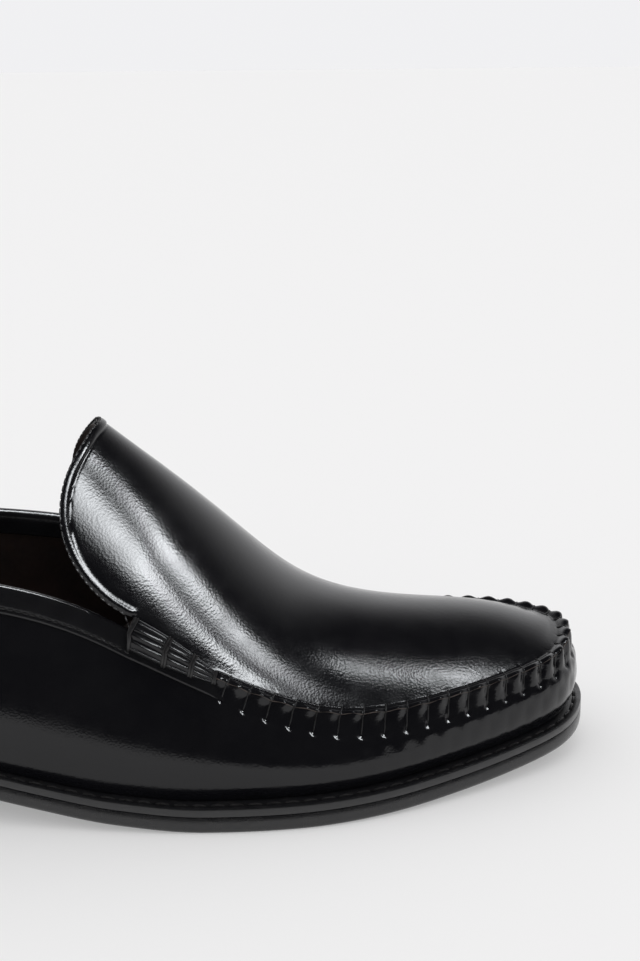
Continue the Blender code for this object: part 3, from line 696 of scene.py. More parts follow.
def two_skins(groups, edges, count):
    """Faces of an outer skin, of an inner one, and of the wall between them along open edges."""
    side = np.stack([edges[:, 1], edges[:, 0], edges[:, 0] + count, edges[:, 1] + count], -1)
    return list(groups) + [group[:, ::-1] + count for group in groups] + [side]


# The seam from the tongue's lateral root round the toe to its medial root
def run_length(line):
    """Length along a line at each of its points."""
    return np.concatenate([[0.0], np.cumsum(np.linalg.norm(np.diff(line, axis=0), axis=-1))])


SEAM_ANGLES = np.linspace(ROOT_ANGLE, TURN - ROOT_ANGLE, 4001)
SEAM_LENGTHS = run_length(top_line(SEAM_ANGLES))
SEAM_TOTAL = SEAM_LENGTHS[-1]
SEWN_FROM = ROLL_LENGTH + CLEARANCE
SEWN = SEAM_TOTAL - 2.0 * SEWN_FROM
STITCHES = round(SEWN / PLEAT_PITCH)
UNEVEN = np.random.default_rng(3).uniform(-0.16, 0.16, STITCHES)
FACING_END = SEWN_FROM + 0.003
COLLAR_END = ROOT_ANGLE + 0.004


def seam_angle(distance, medial=False):
    """Angle round the shoe at a length along the seam from its lateral or its medial end."""
    return np.interp(SEAM_TOTAL - distance if medial else distance, SEAM_LENGTHS, SEAM_ANGLES)


def pleat_lean(distance):
    """Lean of the pleats from square: their feet lie nearer the heel, on both sides."""
    return PLEAT_LEAN * np.clip((SEAM_TOTAL / 2.0 - distance) / LEAN_TURN, -1.0, 1.0)


def seam_relief(distance, reach):
    """Height of the sewn seam over the plain surface, at a length along it and a reach over it."""
    ends = RIDGE_RAMP / 2.0 - SEWN_FROM
    sewn = smooth((distance + ends) / RIDGE_RAMP)
    sewn = sewn * smooth((SEAM_TOTAL - distance + ends) / RIDGE_RAMP)
    near = np.clip(reach, -RIDGE_FOOT, RIDGE_TUCK)
    phase = (distance - pleat_lean(distance) * near - SEWN_FROM) / SEWN * STITCHES
    uneven = 1.0 + np.interp(phase, np.arange(STITCHES), UNEVEN)
    lump = np.abs(np.cos(math.pi * phase))
    outer = smooth((reach + RIDGE_FOOT) / RIDGE_RISE)
    inner = 1.0 - smooth((reach - RIDGE_SHOULDER) / (RIDGE_TUCK - RIDGE_SHOULDER))
    face = smooth((reach + RIDGE_FACE_RAMP) / RIDGE_FACE_RAMP)
    face = RIDGE_FACE_HEIGHT + (1.0 - RIDGE_FACE_HEIGHT) * face
    waist = np.exp(-((reach / RIDGE_FOOT + WAIST_AT) / WAIST_WIDTH) ** 2)
    dent = LUMP_SHARE * (1.0 - lump ** PILLAR_SHARPNESS)
    dent = dent * (DENT_DEPTHS[0] + DENT_DEPTHS[1] * waist)
    height = SEAM_RIDGE_HEIGHT * outer * inner * face * (1.0 - dent * uneven)
    below = np.clip(-(reach + RIDGE_FOOT), 0.0, None)
    flutes = PLEAT_DEPTH * (lump ** FLUTE_SHARPNESS - FLUTE_MEAN) * uneven
    flutes = flutes * np.exp(-below / PLEAT_FADE)
    height = height + flutes * smooth(-(reach + RIDGE_FOOT / 2.0) / PLEAT_RAMP)
    aside = (phase - np.floor(phase) - 0.5) * PLEAT_PITCH

    def spot(at, radius):
        return np.exp(-(aside ** 2 + (reach - at) ** 2) / radius ** 2)

    height = height - HOLE_DEPTH * spot(-RIDGE_FOOT - HOLE_BELOW, HOLE_RADIUS)
    height = height - PLUG_HOLE_DEPTH * spot(PLUG_HOLE_AT, HOLE_RADIUS)
    swell = FOOT_SWELL * spot(-RIDGE_FOOT - FOOT_SWELL_BELOW, FOOT_SWELL_RADIUS)
    return sewn * (height + swell)


def along_ring(curve, angle):
    """Unit direction of a curve round the shoe."""
    return unit(curve(angle + DIFFERENCE) - curve(angle - DIFFERENCE))


def seam_directions(angle, reach):
    """Direction of the seam's relief: from the wall's side, turning to the apron's."""
    tangent = along_ring(top_line, angle)
    length = wall_length(angle)
    low = wall(angle, 1.0 - RIDGE_FACE_RAMP / length)
    lower = wall(angle, 1.0 - (RIDGE_FACE_RAMP + PROBE) / length)
    on_wall = unit(np.cross(tangent, unit(low - lower)))
    high = apron_edge(angle, np.full_like(angle, APRON_EDGE))
    on_apron = unit(np.cross(tangent, unit(high - top_line(angle))))
    turn = smooth((np.asarray(reach) + RIDGE_FACE_RAMP) / RIDGE_TURN)[..., None]
    return unit(on_wall * (1.0 - turn) + on_apron * turn)


def wall_directions(angle, depth):
    """Points of the wall at a depth below the top line, with the outward direction there."""
    length = wall_length(angle)
    level = 1.0 - depth / length
    base = wall(angle, level)
    lower = wall(angle, 1.0 - (depth + PROBE) / length)
    tangent = along_ring(lambda place: wall(place, level), angle)
    return base, unit(np.cross(tangent, unit(base - lower)))


def front_angles():
    """Stations of the seam's lateral half, close enough for its pleats."""
    half = np.linspace(ROOT_ANGLE, math.pi, 2001)
    length = run_length(top_line(half))
    count = int(round(length[-1] / SEAM_STEP))
    return np.interp(np.linspace(0.0, length[-1], count + 1), length, half)


FRONT_HALF = front_angles()
FRONT = np.concatenate([FRONT_HALF, TURN - FRONT_HALF[-2::-1]])
FRONT_ALONG = np.interp(FRONT, SEAM_ANGLES, SEAM_LENGTHS)
REAR = np.linspace(TURN - ROOT_ANGLE, TURN + ROOT_ANGLE, REAR_STATIONS + 1)[1:-1]
STATIONS = np.concatenate([FRONT, REAR])


def base_point(angle, reach):
    """Point of the plain surface at a reach from the top line: wall below it, apron above."""
    low = wall(angle, 1.0 + np.minimum(reach, 0.0) / wall_length(angle))
    high = apron_edge(angle, np.maximum(reach, 0.0))
    return np.where((reach > 0.0)[..., None], high, low)


def raised(angle, reach):
    """Point of the sewn surface near the seam."""
    reach = np.broadcast_to(np.asarray(reach, float), angle.shape)
    height = seam_relief(np.interp(angle, SEAM_ANGLES, SEAM_LENGTHS), reach)[..., None]
    return base_point(angle, reach) + seam_directions(angle, reach) * height


def lip(share):
    """Thickness of leather that is pared thin towards its cut edge."""
    return LIP_THICKNESS + (LEATHER - LIP_THICKNESS) * smooth(share)


def make_vamp(material):
    """Wall of the upper, with its pleated lip standing up along the seam."""
    length = wall_length(STATIONS)
    front = len(FRONT)
    reaches = RIDGE_ZONE * (np.arange(RIDGE_ROWS + 1) / RIDGE_ROWS - 1.0)
    levels = [step / LOW_ROWS * (1.0 - RIDGE_ZONE / length) for step in range(LOW_ROWS)]
    levels += [1.0 + reach / length for reach in reaches]
    plain = np.stack([wall(STATIONS, level) for level in levels])
    rows = plain.copy()
    for row, reach in zip(rows[LOW_ROWS:], reaches):
        row[:front] = raised(FRONT, reach)
    faces = [grid_faces(numbered(rows), closed=True)]
    outer = rows.reshape(-1, 3)
    normals = mesh_normals(outer, faces).reshape(rows.shape)
    # flutes die out down the wall
    for row, normal, level in zip(rows[1:LOW_ROWS], normals[1:], levels[1:]):
        height = seam_relief(FRONT_ALONG, (level[:front] - 1.0) * length[:front])
        row[:front] += normal[:front] * height[:, None]
    depth = np.full(len(rows), LEATHER)
    depth[LOW_ROWS:] = lip(-reaches / VAMP_LIP_WIDTH)
    inner = plain - normals * depth[:, None, None]
    faces = two_skins(faces, border(faces), len(outer))
    points = np.concatenate([outer, inner.reshape(-1, 3)])
    return new_piece("vamp", points, faces, material, ("upper",))


def tongue_surface(count, turns):
    """Grid of the tongue's face, closest together at its tip and a little inside its true edge."""
    share = np.sin(np.linspace(0.0, math.pi / 2.0, count + 1)[1:]) * (1.0 - TONGUE_TIP_INSET)
    sections = tongue_sections(share)
    inset = TONGUE_EDGE_INSET / np.linalg.norm(sections.side, axis=-1)
    edge = sections.edge - inset * smooth(share / TONGUE_INSET_RAMP)
    return arcs(sections._replace(edge=edge), turns)


def add_crown(cloth, edge, half, turns, count):
    """Adds apron and tongue over a row of points along the seam; gives the tongue's numbers."""
    middle = cloth.add(arcs(apron_sections(half), turns)[:, 1:-1])
    rows = np.concatenate([edge[:len(half), None], middle, edge[:len(half):-1, None]], 1)
    cloth.grid(rows[::-1])
    cloth.fan(rows[-1][::-1], edge[len(half)])
    tongue = cloth.add(tongue_surface(count, turns))
    cloth.grid(np.concatenate([rows[:1], tongue]))
    return tongue


def turned_edge(outer, normals, tongue, free):
    """Raises the tongue's turned edge into a bead with a crease inside it."""
    line = resample(outer[free], 0.0004)
    numbers = tongue.ravel()
    gap = np.concatenate([np.linalg.norm(part[:, None] - line, axis=-1).min(axis=1)
                          for part in np.array_split(outer[numbers], 16)])
    start = np.repeat(smooth(np.arange(1, len(tongue) + 1) / 2.0), tongue.shape[1])
    half = BEAD_WIDTH / 2.0
    bead = np.sqrt(np.clip(1.0 - ((gap - half) / half) ** 2, 0.0, 1.0))
    crease = np.exp(-((gap - BEAD_WIDTH) / CREASE_WIDTH) ** 2)
    height = (BEAD_HEIGHT * bead - CREASE_DEPTH * crease) * start
    outer[numbers] += normals[numbers] * height[:, None]


def rounded_border(line, normals, thickness, steps=5):
    """Rows of points that carry a border round its thickness, from the outer to the inner face."""
    out = unit(np.cross(np.gradient(line, axis=0), normals))
    turns = math.pi * np.arange(1, steps + 1)[:, None, None] / (steps + 1)
    radius = thickness / 2.0
    return line + out * radius * np.sin(turns) - normals * radius * (1.0 - np.cos(turns)), out


def make_plug(material):
    """Apron and tongue: one smooth sheet with a rolled lip at the seam and a thick free edge."""
    cloth = Cloth()
    reaches = np.linspace(0.0, APRON_EDGE, BAND_ROWS + 1)
    band = cloth.add(np.stack([raised(FRONT, reach) for reach in reaches]))
    cloth.grid(band)
    turns = np.sin(np.linspace(-1.0, 1.0, COLUMNS + 1) * math.pi / 2.0)
    tongue = add_crown(cloth, band[-1], FRONT_HALF[:-1], turns, TONGUE_GRID)
    free = np.concatenate([tongue[:, 0], tongue[-1, 1:-1], tongue[::-1, -1]])
    groups = merged(cloth.faces)
    outer = cloth.points()
    count = len(outer)
    normals = mesh_normals(outer, groups)
    turned_edge(outer, normals, tongue, free)
    depth = np.full(count, LEATHER)
    depth[tongue] = TONGUE_LEATHER
    depth[band] = lip(reaches / APRON_EDGE / PLUG_LIP_SHARE)[:, None]
    inner = cloth.points() - normals * depth[:, None]
    rim, out = rounded_border(outer[free], normals[free], TONGUE_LEATHER)
    open_edges = border(groups)
    plain = ~np.isin(open_edges, free).all(axis=1)
    faces = two_skins(groups, open_edges[plain], count)
    column = np.concatenate([free[None], numbered(rim, 2 * count), free[None] + count])
    faces += [grid_faces(column)[:, ::-1], column[::-1, 0][None], column[:, -1][None]]
    points = np.concatenate([outer, inner, rim.reshape(-1, 3)])
    piece = new_piece("plug_and_tongue", points, faces, material)
    return piece, cloth, outer[free] - out * TONGUE_STITCH_INSET


def make_lining(material):
    """Brown lining inside wall, apron and tongue."""
    cloth = Cloth()
    angles = np.concatenate([FRONT_HALF[:-1:4], FRONT_HALF[-1:]])
    front = np.concatenate([angles, TURN - angles[-2::-1]])
    rear = REAR[::3]
    stations = np.concatenate([front, rear])
    limit = 1.0 - LINING_STOP / wall_length(stations)
    numbers = cloth.add(np.stack([wall(stations, step / LINING_ROWS * limit)
                                  for step in range(LINING_ROWS + 1)]))
    cloth.grid(numbers, closed=True)
    last = numbers[-1]
    top = cloth.add(wall(rear, 1.0 - 0.0006 / wall_length(rear)))
    edge = cloth.add(apron_edge(front, np.full_like(front, APRON_EDGE)))
    cloth.grid(np.stack([last[:len(front)], edge]))
    cloth.grid(np.stack([np.concatenate([last[len(front) - 1:], last[:1]]),
                         np.concatenate([edge[-1:], top, edge[:1]])]))
    turns = np.linspace(-1.0, 1.0, LINING_COLUMNS + 1)
    tongue = add_crown(cloth, edge, angles[:-1], turns, LINING_COLUMNS)
    skin = cloth.points()
    groups = merged(cloth.faces)
    normals = mesh_normals(skin, groups)
    near = np.full(len(skin), LINING_FROM)
    near[tongue] = TONGUE_LEATHER + LINING_GAP
    far = np.maximum(near + TONGUE_LINING, WALL)
    points = np.concatenate([skin - normals * depth[:, None] for depth in (near, far)])
    faces = two_skins(groups, border(groups), len(skin))
    return new_piece("lining", points, faces, material)


def tube(path, radius, sides=8, taper=0.35, scale=1.0):
    """Points and faces of a closed tube along a path, its ends drawn in."""
    tangent = unit(np.gradient(path, axis=0))
    side = unit(np.cross(tangent, np.array([0.0, 0.0, 1.0]) + 1e-3))[:, None]
    top = np.cross(side, tangent[:, None])
    turn = np.linspace(0.0, TURN, sides, endpoint=False)[:, None]
    size = np.full(len(path), radius)
    size[[0, -1]] *= taper
    ring = side * np.cos(turn) + top * np.sin(turn)
    points = path[:, None] + ring * (size * scale)[:, None, None]
    numbers = numbered(points)
    faces = [grid_faces(numbers, closed=True), numbers[0][None], numbers[-1][None, ::-1]]
    return points.reshape(-1, 3), faces


def at_lengths(at, length, values):
    """Rows of values at lengths along a line."""
    return np.stack([np.interp(at, length, column) for column in values.T], -1)


def resample(line, pitch):
    """Points at an even pitch along a line."""
    length = run_length(line)
    count = max(int(round(length[-1] / pitch)), 1)
    return at_lengths(np.linspace(0.0, length[-1], count + 1), length, line)


def stitch_row(name, line, normals, pitch, radius, material, fill=0.78, lift=0.35):
    """Piece of short rounded stitches laid along a line on a surface."""
    length = run_length(line)
    count = max(int(round(length[-1] / pitch)), 1)
    shares = np.array([-0.5, -0.42, -0.25, 0.0, 0.25, 0.42, 0.5]) * fill
    rises = np.array([-1.2, -0.2, 0.7, 1.0, 0.7, -0.2, -1.2])[:, None] * lift * radius * 2.0
    parts = []
    for number in range(count):
        at = (number + 0.5 + shares) * length[-1] / count
        path = at_lengths(at, length, line) + unit(at_lengths(at, length, normals)) * rises
        parts.append(tube(path, radius, sides=7))
    points, faces = join(parts)
    return new_piece(name, points, faces, material)


def make_seam_threads(material):
    """Thread over the seam's ridge at each pleat, from its foot to the plug."""
    reach = np.array([-RIDGE_FOOT - 0.0006, -RIDGE_FOOT + 0.0001, -0.0036, -0.0024, -0.0012,
                      -0.0003, 0.0006, 0.0014, PLUG_HOLE_AT, PLUG_HOLE_AT + 0.0005])
    lift = np.array([-1.5, -0.5, -0.1, 0.0, 0.0, 0.0, 0.0, 0.0, -0.6, -1.6]) * SEAM_THREAD
    distance = SEWN_FROM + (np.arange(STITCHES)[:, None] + 0.5) / STITCHES * SEWN
    angles = seam_angle(distance + pleat_lean(distance) * np.maximum(reach, -RIDGE_FOOT))
    paths = raised(angles, reach)
    paths = paths + seam_directions(angles, np.broadcast_to(reach, angles.shape)) * lift[:, None]
    points, faces = join([tube(path, SEAM_THREAD) for path in paths])
    return new_piece("seam_threads", points, faces, material)


def make_raw_edge(material):
    """Cut edge of the vamp's leather, a thin pale line along the ridge's crest."""
    inner = slice(40, -40)
    angles = FRONT[inner]
    reach = np.full(len(angles), RAW_EDGE_REACH)
    path = raised(angles, reach) + seam_directions(angles, reach) * RAW_EDGE_LIFT
    along = FRONT_ALONG[inner]
    bite = 0.55 + 0.45 * np.sin(along * 410.0) * np.sin(along * 1130.0)
    points, faces = tube(path, RAW_EDGE, sides=6, scale=bite)
    return new_piece("raw_edge", points, faces, material)


def make_collar(material):
    """Folded band over the collar's edge: a raised strip outside, rolled over the top."""
    angle = np.linspace(TURN - COLLAR_END, TURN + COLLAR_END, REAR_STATIONS + 1)
    rows = []
    for depth, height in BAND_SECTION:
        base, direction = wall_directions(angle, depth)
        rows.append(base + direction * BAND_THICKNESS * height)
    top = top_line(angle)
    up = unit(top - wall(angle, 1.0 - BAND_DEPTH / wall_length(angle)))
    out = unit(np.cross(along_ring(top_line, angle), up))
    half = WALL / 2.0 + CLEARANCE + BINDING_THICKNESS
    centre = CLEARANCE + BAND_THICKNESS - half
    inside = centre - half
    turns = np.radians(FOLD_TURNS)
    fold = (BAND_FOLD_DROP + CLEARANCE + BINDING_THICKNESS) * np.sin(turns) ** 0.8
    path = list(zip(centre + half * np.cos(turns), fold - BAND_FOLD_DROP))
    path += [(inside, -0.0020), (inside, -0.0040), (inside, -0.0056), (inside + 0.0008, -0.0062),
             (-WALL / 2.0, -0.0062), (-WALL / 2.0, -BAND_DEPTH)]
    rows += [top + out * across + up * height for across, height in path]
    return bar_piece("collar_band", rows, material, ("collar_binding",))


def make_facing(name, medial, material):
    """The collar's strip carried on under the side roll to the start of the sewn ridge."""
    distance = np.linspace(-0.002, FACING_END, 60)
    limit = np.interp(distance, [0.0, FACING_END], [BAND_DEPTH, RIDGE_FOOT])
    thick = BAND_THICKNESS * (1.0 - smooth((distance - SEWN_FROM + 0.004) / 0.007) * 0.9)
    before = np.minimum(distance, 0.0) * 2.0 / SOLE_LENGTH
    angle = seam_angle(np.maximum(distance, 0.0), medial) + (-before if medial else before)
    rows = []
    for share, height in FACING_SECTION:
        base, direction = wall_directions(angle, limit * share)
        row = base + direction * (thick * height)[:, None]
        rows.append(row[::-1] if medial else row)
    return bar_piece(name, rows, material)


def roll_point(distance, turn, medial, radial):
    """Point of the side roll's rounded back: turn 0 on the wall's side, half a turn on the plug's."""
    angle = seam_angle(distance, medial)
    size = 1.0 - ROLL_TAPER * (distance / ROLL_LENGTH) ** 2
    side = -np.cos(turn) * ROLL_WIDTH * size / 2.0
    height = CLEARANCE + ROLL_HEIGHT * size * np.sin(turn)
    return base_point(angle, side) + seam_directions(angle, side) * (height * radial)[..., None]


def make_roll(name, medial, node, material):
    """Corded roll: long ribs between wraps of thread."""
    share = np.linspace(0.0, 1.0, ROLL_SEGMENTS * ROLL_STEPS + 1)
    wave = np.sqrt(np.abs(np.sin(share * ROLL_SEGMENTS * math.pi)))[:, None]
    along, turn = np.meshgrid(share ** ROLL_SPACING, np.linspace(0.0, math.pi, ROLL_COLUMNS),
                              indexing="ij")
    rib = np.abs(np.sin(turn * ROLL_RIBS)) ** RIB_SHARPNESS
    depth = ROLL_RIB_DEPTH / ROLL_HEIGHT * (NECK_RIB_SHARE + (1.0 - NECK_RIB_SHARE) * wave)
    radial = (ROLL_WAIST + (1.0 - ROLL_WAIST) * wave) * (1.0 - depth * (1.0 - rib))
    outer = roll_point(along * ROLL_LENGTH, turn, medial, radial)
    if medial:
        outer = outer[::-1]
    numbers = numbered(outer)
    faces = [grid_faces(numbers)[:, ::-1], grid_faces(numbers[:, [0, -1]]),
             numbers[0][None], numbers[-1][None, ::-1]]
    return new_piece(name, outer.reshape(-1, 3), faces, material, (node,))


def make_wraps(name, medial, material):
    """Turns of thread round the roll's necks."""
    parts = []
    turn = np.linspace(0.04, math.pi - 0.04, 25)
    lean = np.linspace(-WRAP_LEAN, WRAP_LEAN, len(turn))
    for neck in range(ROLL_SEGMENTS + 1):
        centre = (neck / ROLL_SEGMENTS) ** ROLL_SPACING * ROLL_LENGTH
        for loop in range(WRAP_TURNS):
            shift = (loop - (WRAP_TURNS - 1) / 2.0) * WRAP_PITCH
            distance = np.clip(centre + shift + lean, 0.0, ROLL_LENGTH)
            path = roll_point(distance, turn, medial, ROLL_WAIST + 0.05 + 0.03 * loop)
            parts.append(tube(path, WRAP_THREAD, sides=10, taper=0.8))
    points, faces = join(parts)
    return new_piece(name, points, faces, material)


def make_welt(material):
    """Welt with a shallow stitch channel in the middle of its ledge."""
    low = WELT_BASE
    top = WELT_BASE + WELT_THICKNESS
    mid = ledge(RIM_ANGLES) * WELT_CHANNEL_AT
    inner = ledge(RIM_ANGLES) + WALL
    section = (
        (0.0006, low), (0.00008, low + 0.00004), (0.0, low + 0.00012),
        (0.0, top - 0.00035), (0.00008, top - 0.00012), (0.0003, top),
        (mid - 0.0007, top), (mid - 0.0003, top - 0.0003), (mid + 0.0003, top - 0.0003),
        (mid + 0.0007, top), (inner, top), (inner, low),
    )
    rows = [on_level(inside_edge(RIM_ANGLES, np.broadcast_to(inset, RIM_ANGLES.shape)), height)
            for inset, height in section]
    return bar_piece("welt_strip", rows, material, ("welt",), endless=True)


def make_welt_stitches(material):
    """Lock stitches in the welt's channel."""
    angle = np.linspace(0.0, TURN, 4001)
    level = WELT_BASE + WELT_THICKNESS - 0.00025
    line = on_level(inside_edge(angle, ledge(angle) * WELT_CHANNEL_AT), level)
    normal = np.tile([0.0, 0.0, 1.0], (len(line), 1))
    return stitch_row("welt_stitches", line, normal, WELT_STITCH, WELT_THREAD, material, fill=0.8)


def make_plate(name, levels, material, node, columns=10, angles=None, shape=on_level):
    """Solid between the first and last of a stack of insets and heights, through the others.

    Without angles it runs the whole length of the sole, and its pointed ends are merged."""
    half = HALF_RING if angles is None else angles
    share = np.linspace(0.0, 1.0, columns + 1)[:, None]
    points, faces, rims = [], [], []
    for number, (inset, height) in enumerate(levels):
        inset = np.broadcast_to(inset, half.shape)
        left, right = inside_edge(half, inset), inside_edge(TURN - half, inset)
        grid = shape(left[:, None] + (right - left)[:, None] * share, height)
        numbers = numbered(grid, number * grid.size // 3)
        points.append(grid.reshape(-1, 3))
        if number in (0, len(levels) - 1):
            faces.append(grid_faces(numbers)[:, ::-1] if number else grid_faces(numbers))
        rim = [numbers[:, 0], numbers[::-1, -1]]
        if angles is not None:
            rim = [rim[0], numbers[-1][1:-1], rim[1], numbers[0][-2:0:-1]]
        rims.append(np.concatenate(rim))
    faces.append(grid_faces(np.stack(rims), closed=True))
    piece = new_piece(name, np.concatenate(points), faces, material, (node,))
    clean = bmesh.new()
    clean.from_mesh(piece.data)
    bmesh.ops.remove_doubles(clean, verts=clean.verts, dist=1e-6)
    bmesh.ops.dissolve_degenerate(clean, edges=clean.edges, dist=1e-7)
    bmesh.ops.recalc_face_normals(clean, faces=clean.faces)
    clean.to_mesh(piece.data)
    clean.free()
    shade(piece.data)


def make_outsole(material):
    """Outsole with a rounded edge and a fine groove under the welt."""
    top = OUTSOLE_THICKNESS
    levels = ((0.0012, 0.0), (0.0005, 0.0003), (0.0001, 0.0009), (0.0, 0.0016),
              (0.0, top + 0.00012), (0.00008, top + 0.0002), (0.0006, top + 0.00024))
    make_plate("outsole_leather", levels, material, "outsole")


def make_sock(material):
    """Leather sock over the insole, slightly dished at its rim."""
    rim = ledge(HALF_RING) + WALL + CLEARANCE
    top = WELT_BASE + INSOLE_THICKNESS
    levels = ((rim, WELT_BASE), (rim, top - 0.0006), (rim + 0.0006, top))
    make_plate("insole_sock", levels, material, "insole", columns=16)


def heel_shape(plan, down):
    """Heel plan point pitched forward and set at its level."""
    x = plan[..., 0] + HEEL_PITCH * down * (1.0 - plan[..., 0] / HEEL_LENGTH)
    y = plan[..., 1]
    if down <= JOINT:
        low = TOP_PIECE_THICKNESS + CLEARANCE
        z = low + (rise(x, y) - CLEARANCE - low) * (1.0 - down / JOINT)
    else:
        z = np.full_like(x, TOP_PIECE_THICKNESS * (1.0 - down) / (1.0 - JOINT))
    return np.stack([x, y, z], -1)


def make_heel_block(name, pairs, material, node):
    """Block of the heel from its extra insets and shares of the way down from the outsole."""
    levels = [(HEEL_SETBACK + HEEL_TAPER * down + extra, down) for extra, down in pairs]
    angles = np.linspace(0.0, float(ring_angle(HEEL_LENGTH / SOLE_LENGTH)), 121)
    make_plate(name, levels, material, node, 12, angles, heel_shape)


def make_heel(stack_material, rubber_material):
    """Stacked heel in lifts, and its rubber top piece."""
    pairs = []
    for lift in range(HEEL_LIFTS):
        high = JOINT * lift / HEEL_LIFTS
        low = JOINT * (lift + 1) / HEEL_LIFTS
        pairs += [(HEEL_GROOVE, high + 0.0005), (0.0, high + 0.025), (0.0, low - 0.025),
                  (HEEL_GROOVE, low - 0.0005)]
    pairs[0] = (0.0004, 0.0)
    pairs[-1] = (0.0003, JOINT)
    make_heel_block("heel_lifts", pairs[::-1], stack_material, "heel_stack")
    pairs = [(0.0012, 1.0), (0.0003, 0.985), (0.0, 0.955), (0.0, JOINT + 0.03),
             (0.0005, JOINT + 0.0008)]
    make_heel_block("heel_rubber", pairs, rubber_material, "heel_top_piece")


def make_tongue_stitches(cloth, line, material):
    """Stitch row a little inside the tongue's free edge."""
    polygons = [tuple(face) for group in cloth.faces for face in group.tolist()]
    tree = BVHTree.FromPolygons([Vector(point) for point in cloth.points()], polygons)
    line = np.array([tree.find_nearest(Vector(point))[0] for point in line])
    line = resample(line, 0.0011)
    directions = np.array([tree.find_nearest(Vector(point))[1] for point in line])
    return stitch_row("tongue_stitches", line, directions, FINE_STITCH, FINE_THREAD, material)


def make_collar_stitches(material):
    """Stitch row along the foot of the collar's band, right round to the sewn ridge."""
    angle = np.linspace(TURN - COLLAR_END, TURN + COLLAR_END, 1200)
    base, direction = wall_directions(angle, BAND_STITCH_AT)
    line = base + direction * BAND_THICKNESS * 0.8
    return stitch_row("collar_stitches", line, direction, FINE_STITCH, FINE_THREAD, material)


# Materials
class Nodes:
    """Short way to build one material's node tree round its Principled shader."""

    def __init__(self, name):
        self.material = bpy.data.materials.new(name)
        self.material.use_nodes = True
        self.tree = self.material.node_tree
        self.shader = self.tree.nodes["Principled BSDF"]
        self.place = self.tree.nodes.new("ShaderNodeTexCoord").outputs["Object"]

    def add(self, kind, vector=None, **values):
        node = self.tree.nodes.new(kind)
        for key, value in values.items():
            node.inputs[key.replace("_", " ")].default_value = value
        if vector is not None:
            self.link(vector, node.inputs["Vector"])
        return node

    def link(self, output, target):
        self.tree.links.new(output, target)

    def noise(self, scale, detail=3.0, roughness=0.5, vector=None):
        return self.add("ShaderNodeTexNoise", vector or self.place, Scale=scale, Detail=detail,
                        Roughness=roughness).outputs["Fac"]

    def cells(self, scale):
        return self.add("ShaderNodeTexVoronoi", self.place, Scale=scale).outputs["Distance"]

    def ramp(self, source, low, high, start=0.35, end=0.65):
        node = self.add("ShaderNodeMapRange", From_Min=start, From_Max=end, To_Min=low,
                        To_Max=high)
        self.link(source, node.inputs["Value"])
        return node.outputs["Result"]

    def look(self, pattern, dark, light, gloss, rough, start=0.35, end=0.65):
        """Colour between two along one pattern, roughness between two along another."""
        node = self.add("ShaderNodeMix")
        node.data_type = "RGBA"
        first, second = [socket for socket in node.inputs if socket.type == "RGBA"]
        first.default_value = dark + (1.0,)
        second.default_value = light + (1.0,)
        self.link(self.ramp(pattern, 0.0, 1.0, start, end), node.inputs["Factor"])
        mixed = [socket for socket in node.outputs if socket.type == "RGBA"][0]
        self.link(mixed, self.shader.inputs["Base Color"])
        self.link(self.ramp(gloss, *rough), self.shader.inputs["Roughness"])

    def bumps(self, *layers):
        """Bumps laid over each other, each from a pattern, a distance and a strength."""
        normal = None
        for source, distance, strength in layers:
            node = self.add("ShaderNodeBump", Strength=strength, Distance=distance)
            self.link(source, node.inputs["Height"])
            if normal is not None:
                self.link(normal, node.inputs["Normal"])
            normal = node.outputs["Normal"]
        self.link(normal, self.shader.inputs["Normal"])

    def set(self, **values):
        for key, value in values.items():
            self.shader.inputs[key.replace("_", " ")].default_value = value


def polished_leather(name, dark, light, rough, grain):
    """Black leather under a deep polish: fine grain, faint tint and uneven gloss."""
    nodes = Nodes(name)
    nodes.look(nodes.noise(40.0), dark, light, nodes.noise(160.0, 4.0), rough)
    nodes.bumps((nodes.noise(24.0, 2.0), 0.0022, 0.12),
                (nodes.noise(600.0, 2.0), 0.00003, 0.16),
                (nodes.cells(1500.0), 0.00004, grain),
                (nodes.noise(4200.0, 2.0), 0.000015, grain))
    nodes.set(Specular_IOR_Level=0.40, IOR=1.5)
    return nodes.material


def matte_leather(name, dark, light, rough, scale=900.0):
    """Unpolished leather: soft mottling and pores."""
    nodes = Nodes(name)
    nodes.look(nodes.noise(90.0, 5.0), dark, light, nodes.noise(300.0), rough)
    nodes.bumps((nodes.noise(260.0), 0.0002, 0.3), (nodes.cells(scale), 0.00012, 0.5))
    return nodes.material


def inked_edge(name, colour, worn, rough):
    """Cut leather edge, inked and waxed: faint lines along the layers."""
    nodes = Nodes(name)
    stretch = nodes.add("ShaderNodeMapping", nodes.place, Scale=(1.0, 1.0, 9.0))
    fibre = nodes.noise(420.0, 5.0, 0.6, stretch.outputs["Vector"])
    nodes.look(fibre, colour, worn, nodes.noise(210.0), rough, 0.5, 0.8)
    nodes.bumps((fibre, 0.00012, 0.45), (nodes.noise(1400.0), 0.00003, 0.5))
    nodes.set(Coat_Weight=0.35, Coat_Roughness=0.22)
    return nodes.material


def rubber(name):
    """Dense black rubber with a fine moulded tooth."""
    nodes = Nodes(name)
    nodes.look(nodes.noise(120.0), (0.016, 0.016, 0.017), (0.030, 0.030, 0.031),
               nodes.noise(500.0), (0.5, 0.68))
    nodes.bumps((nodes.cells(1300.0), 0.00008, 0.5))
    return nodes.material


def waxed_thread(name, colour, light):
    """Waxed black thread with its twist."""
    nodes = Nodes(name)
    twist = nodes.noise(2600.0, 2.0)
    nodes.look(twist, colour, light, twist, (0.3, 0.5))
    nodes.bumps((twist, 0.00006, 0.6))
    return nodes.material


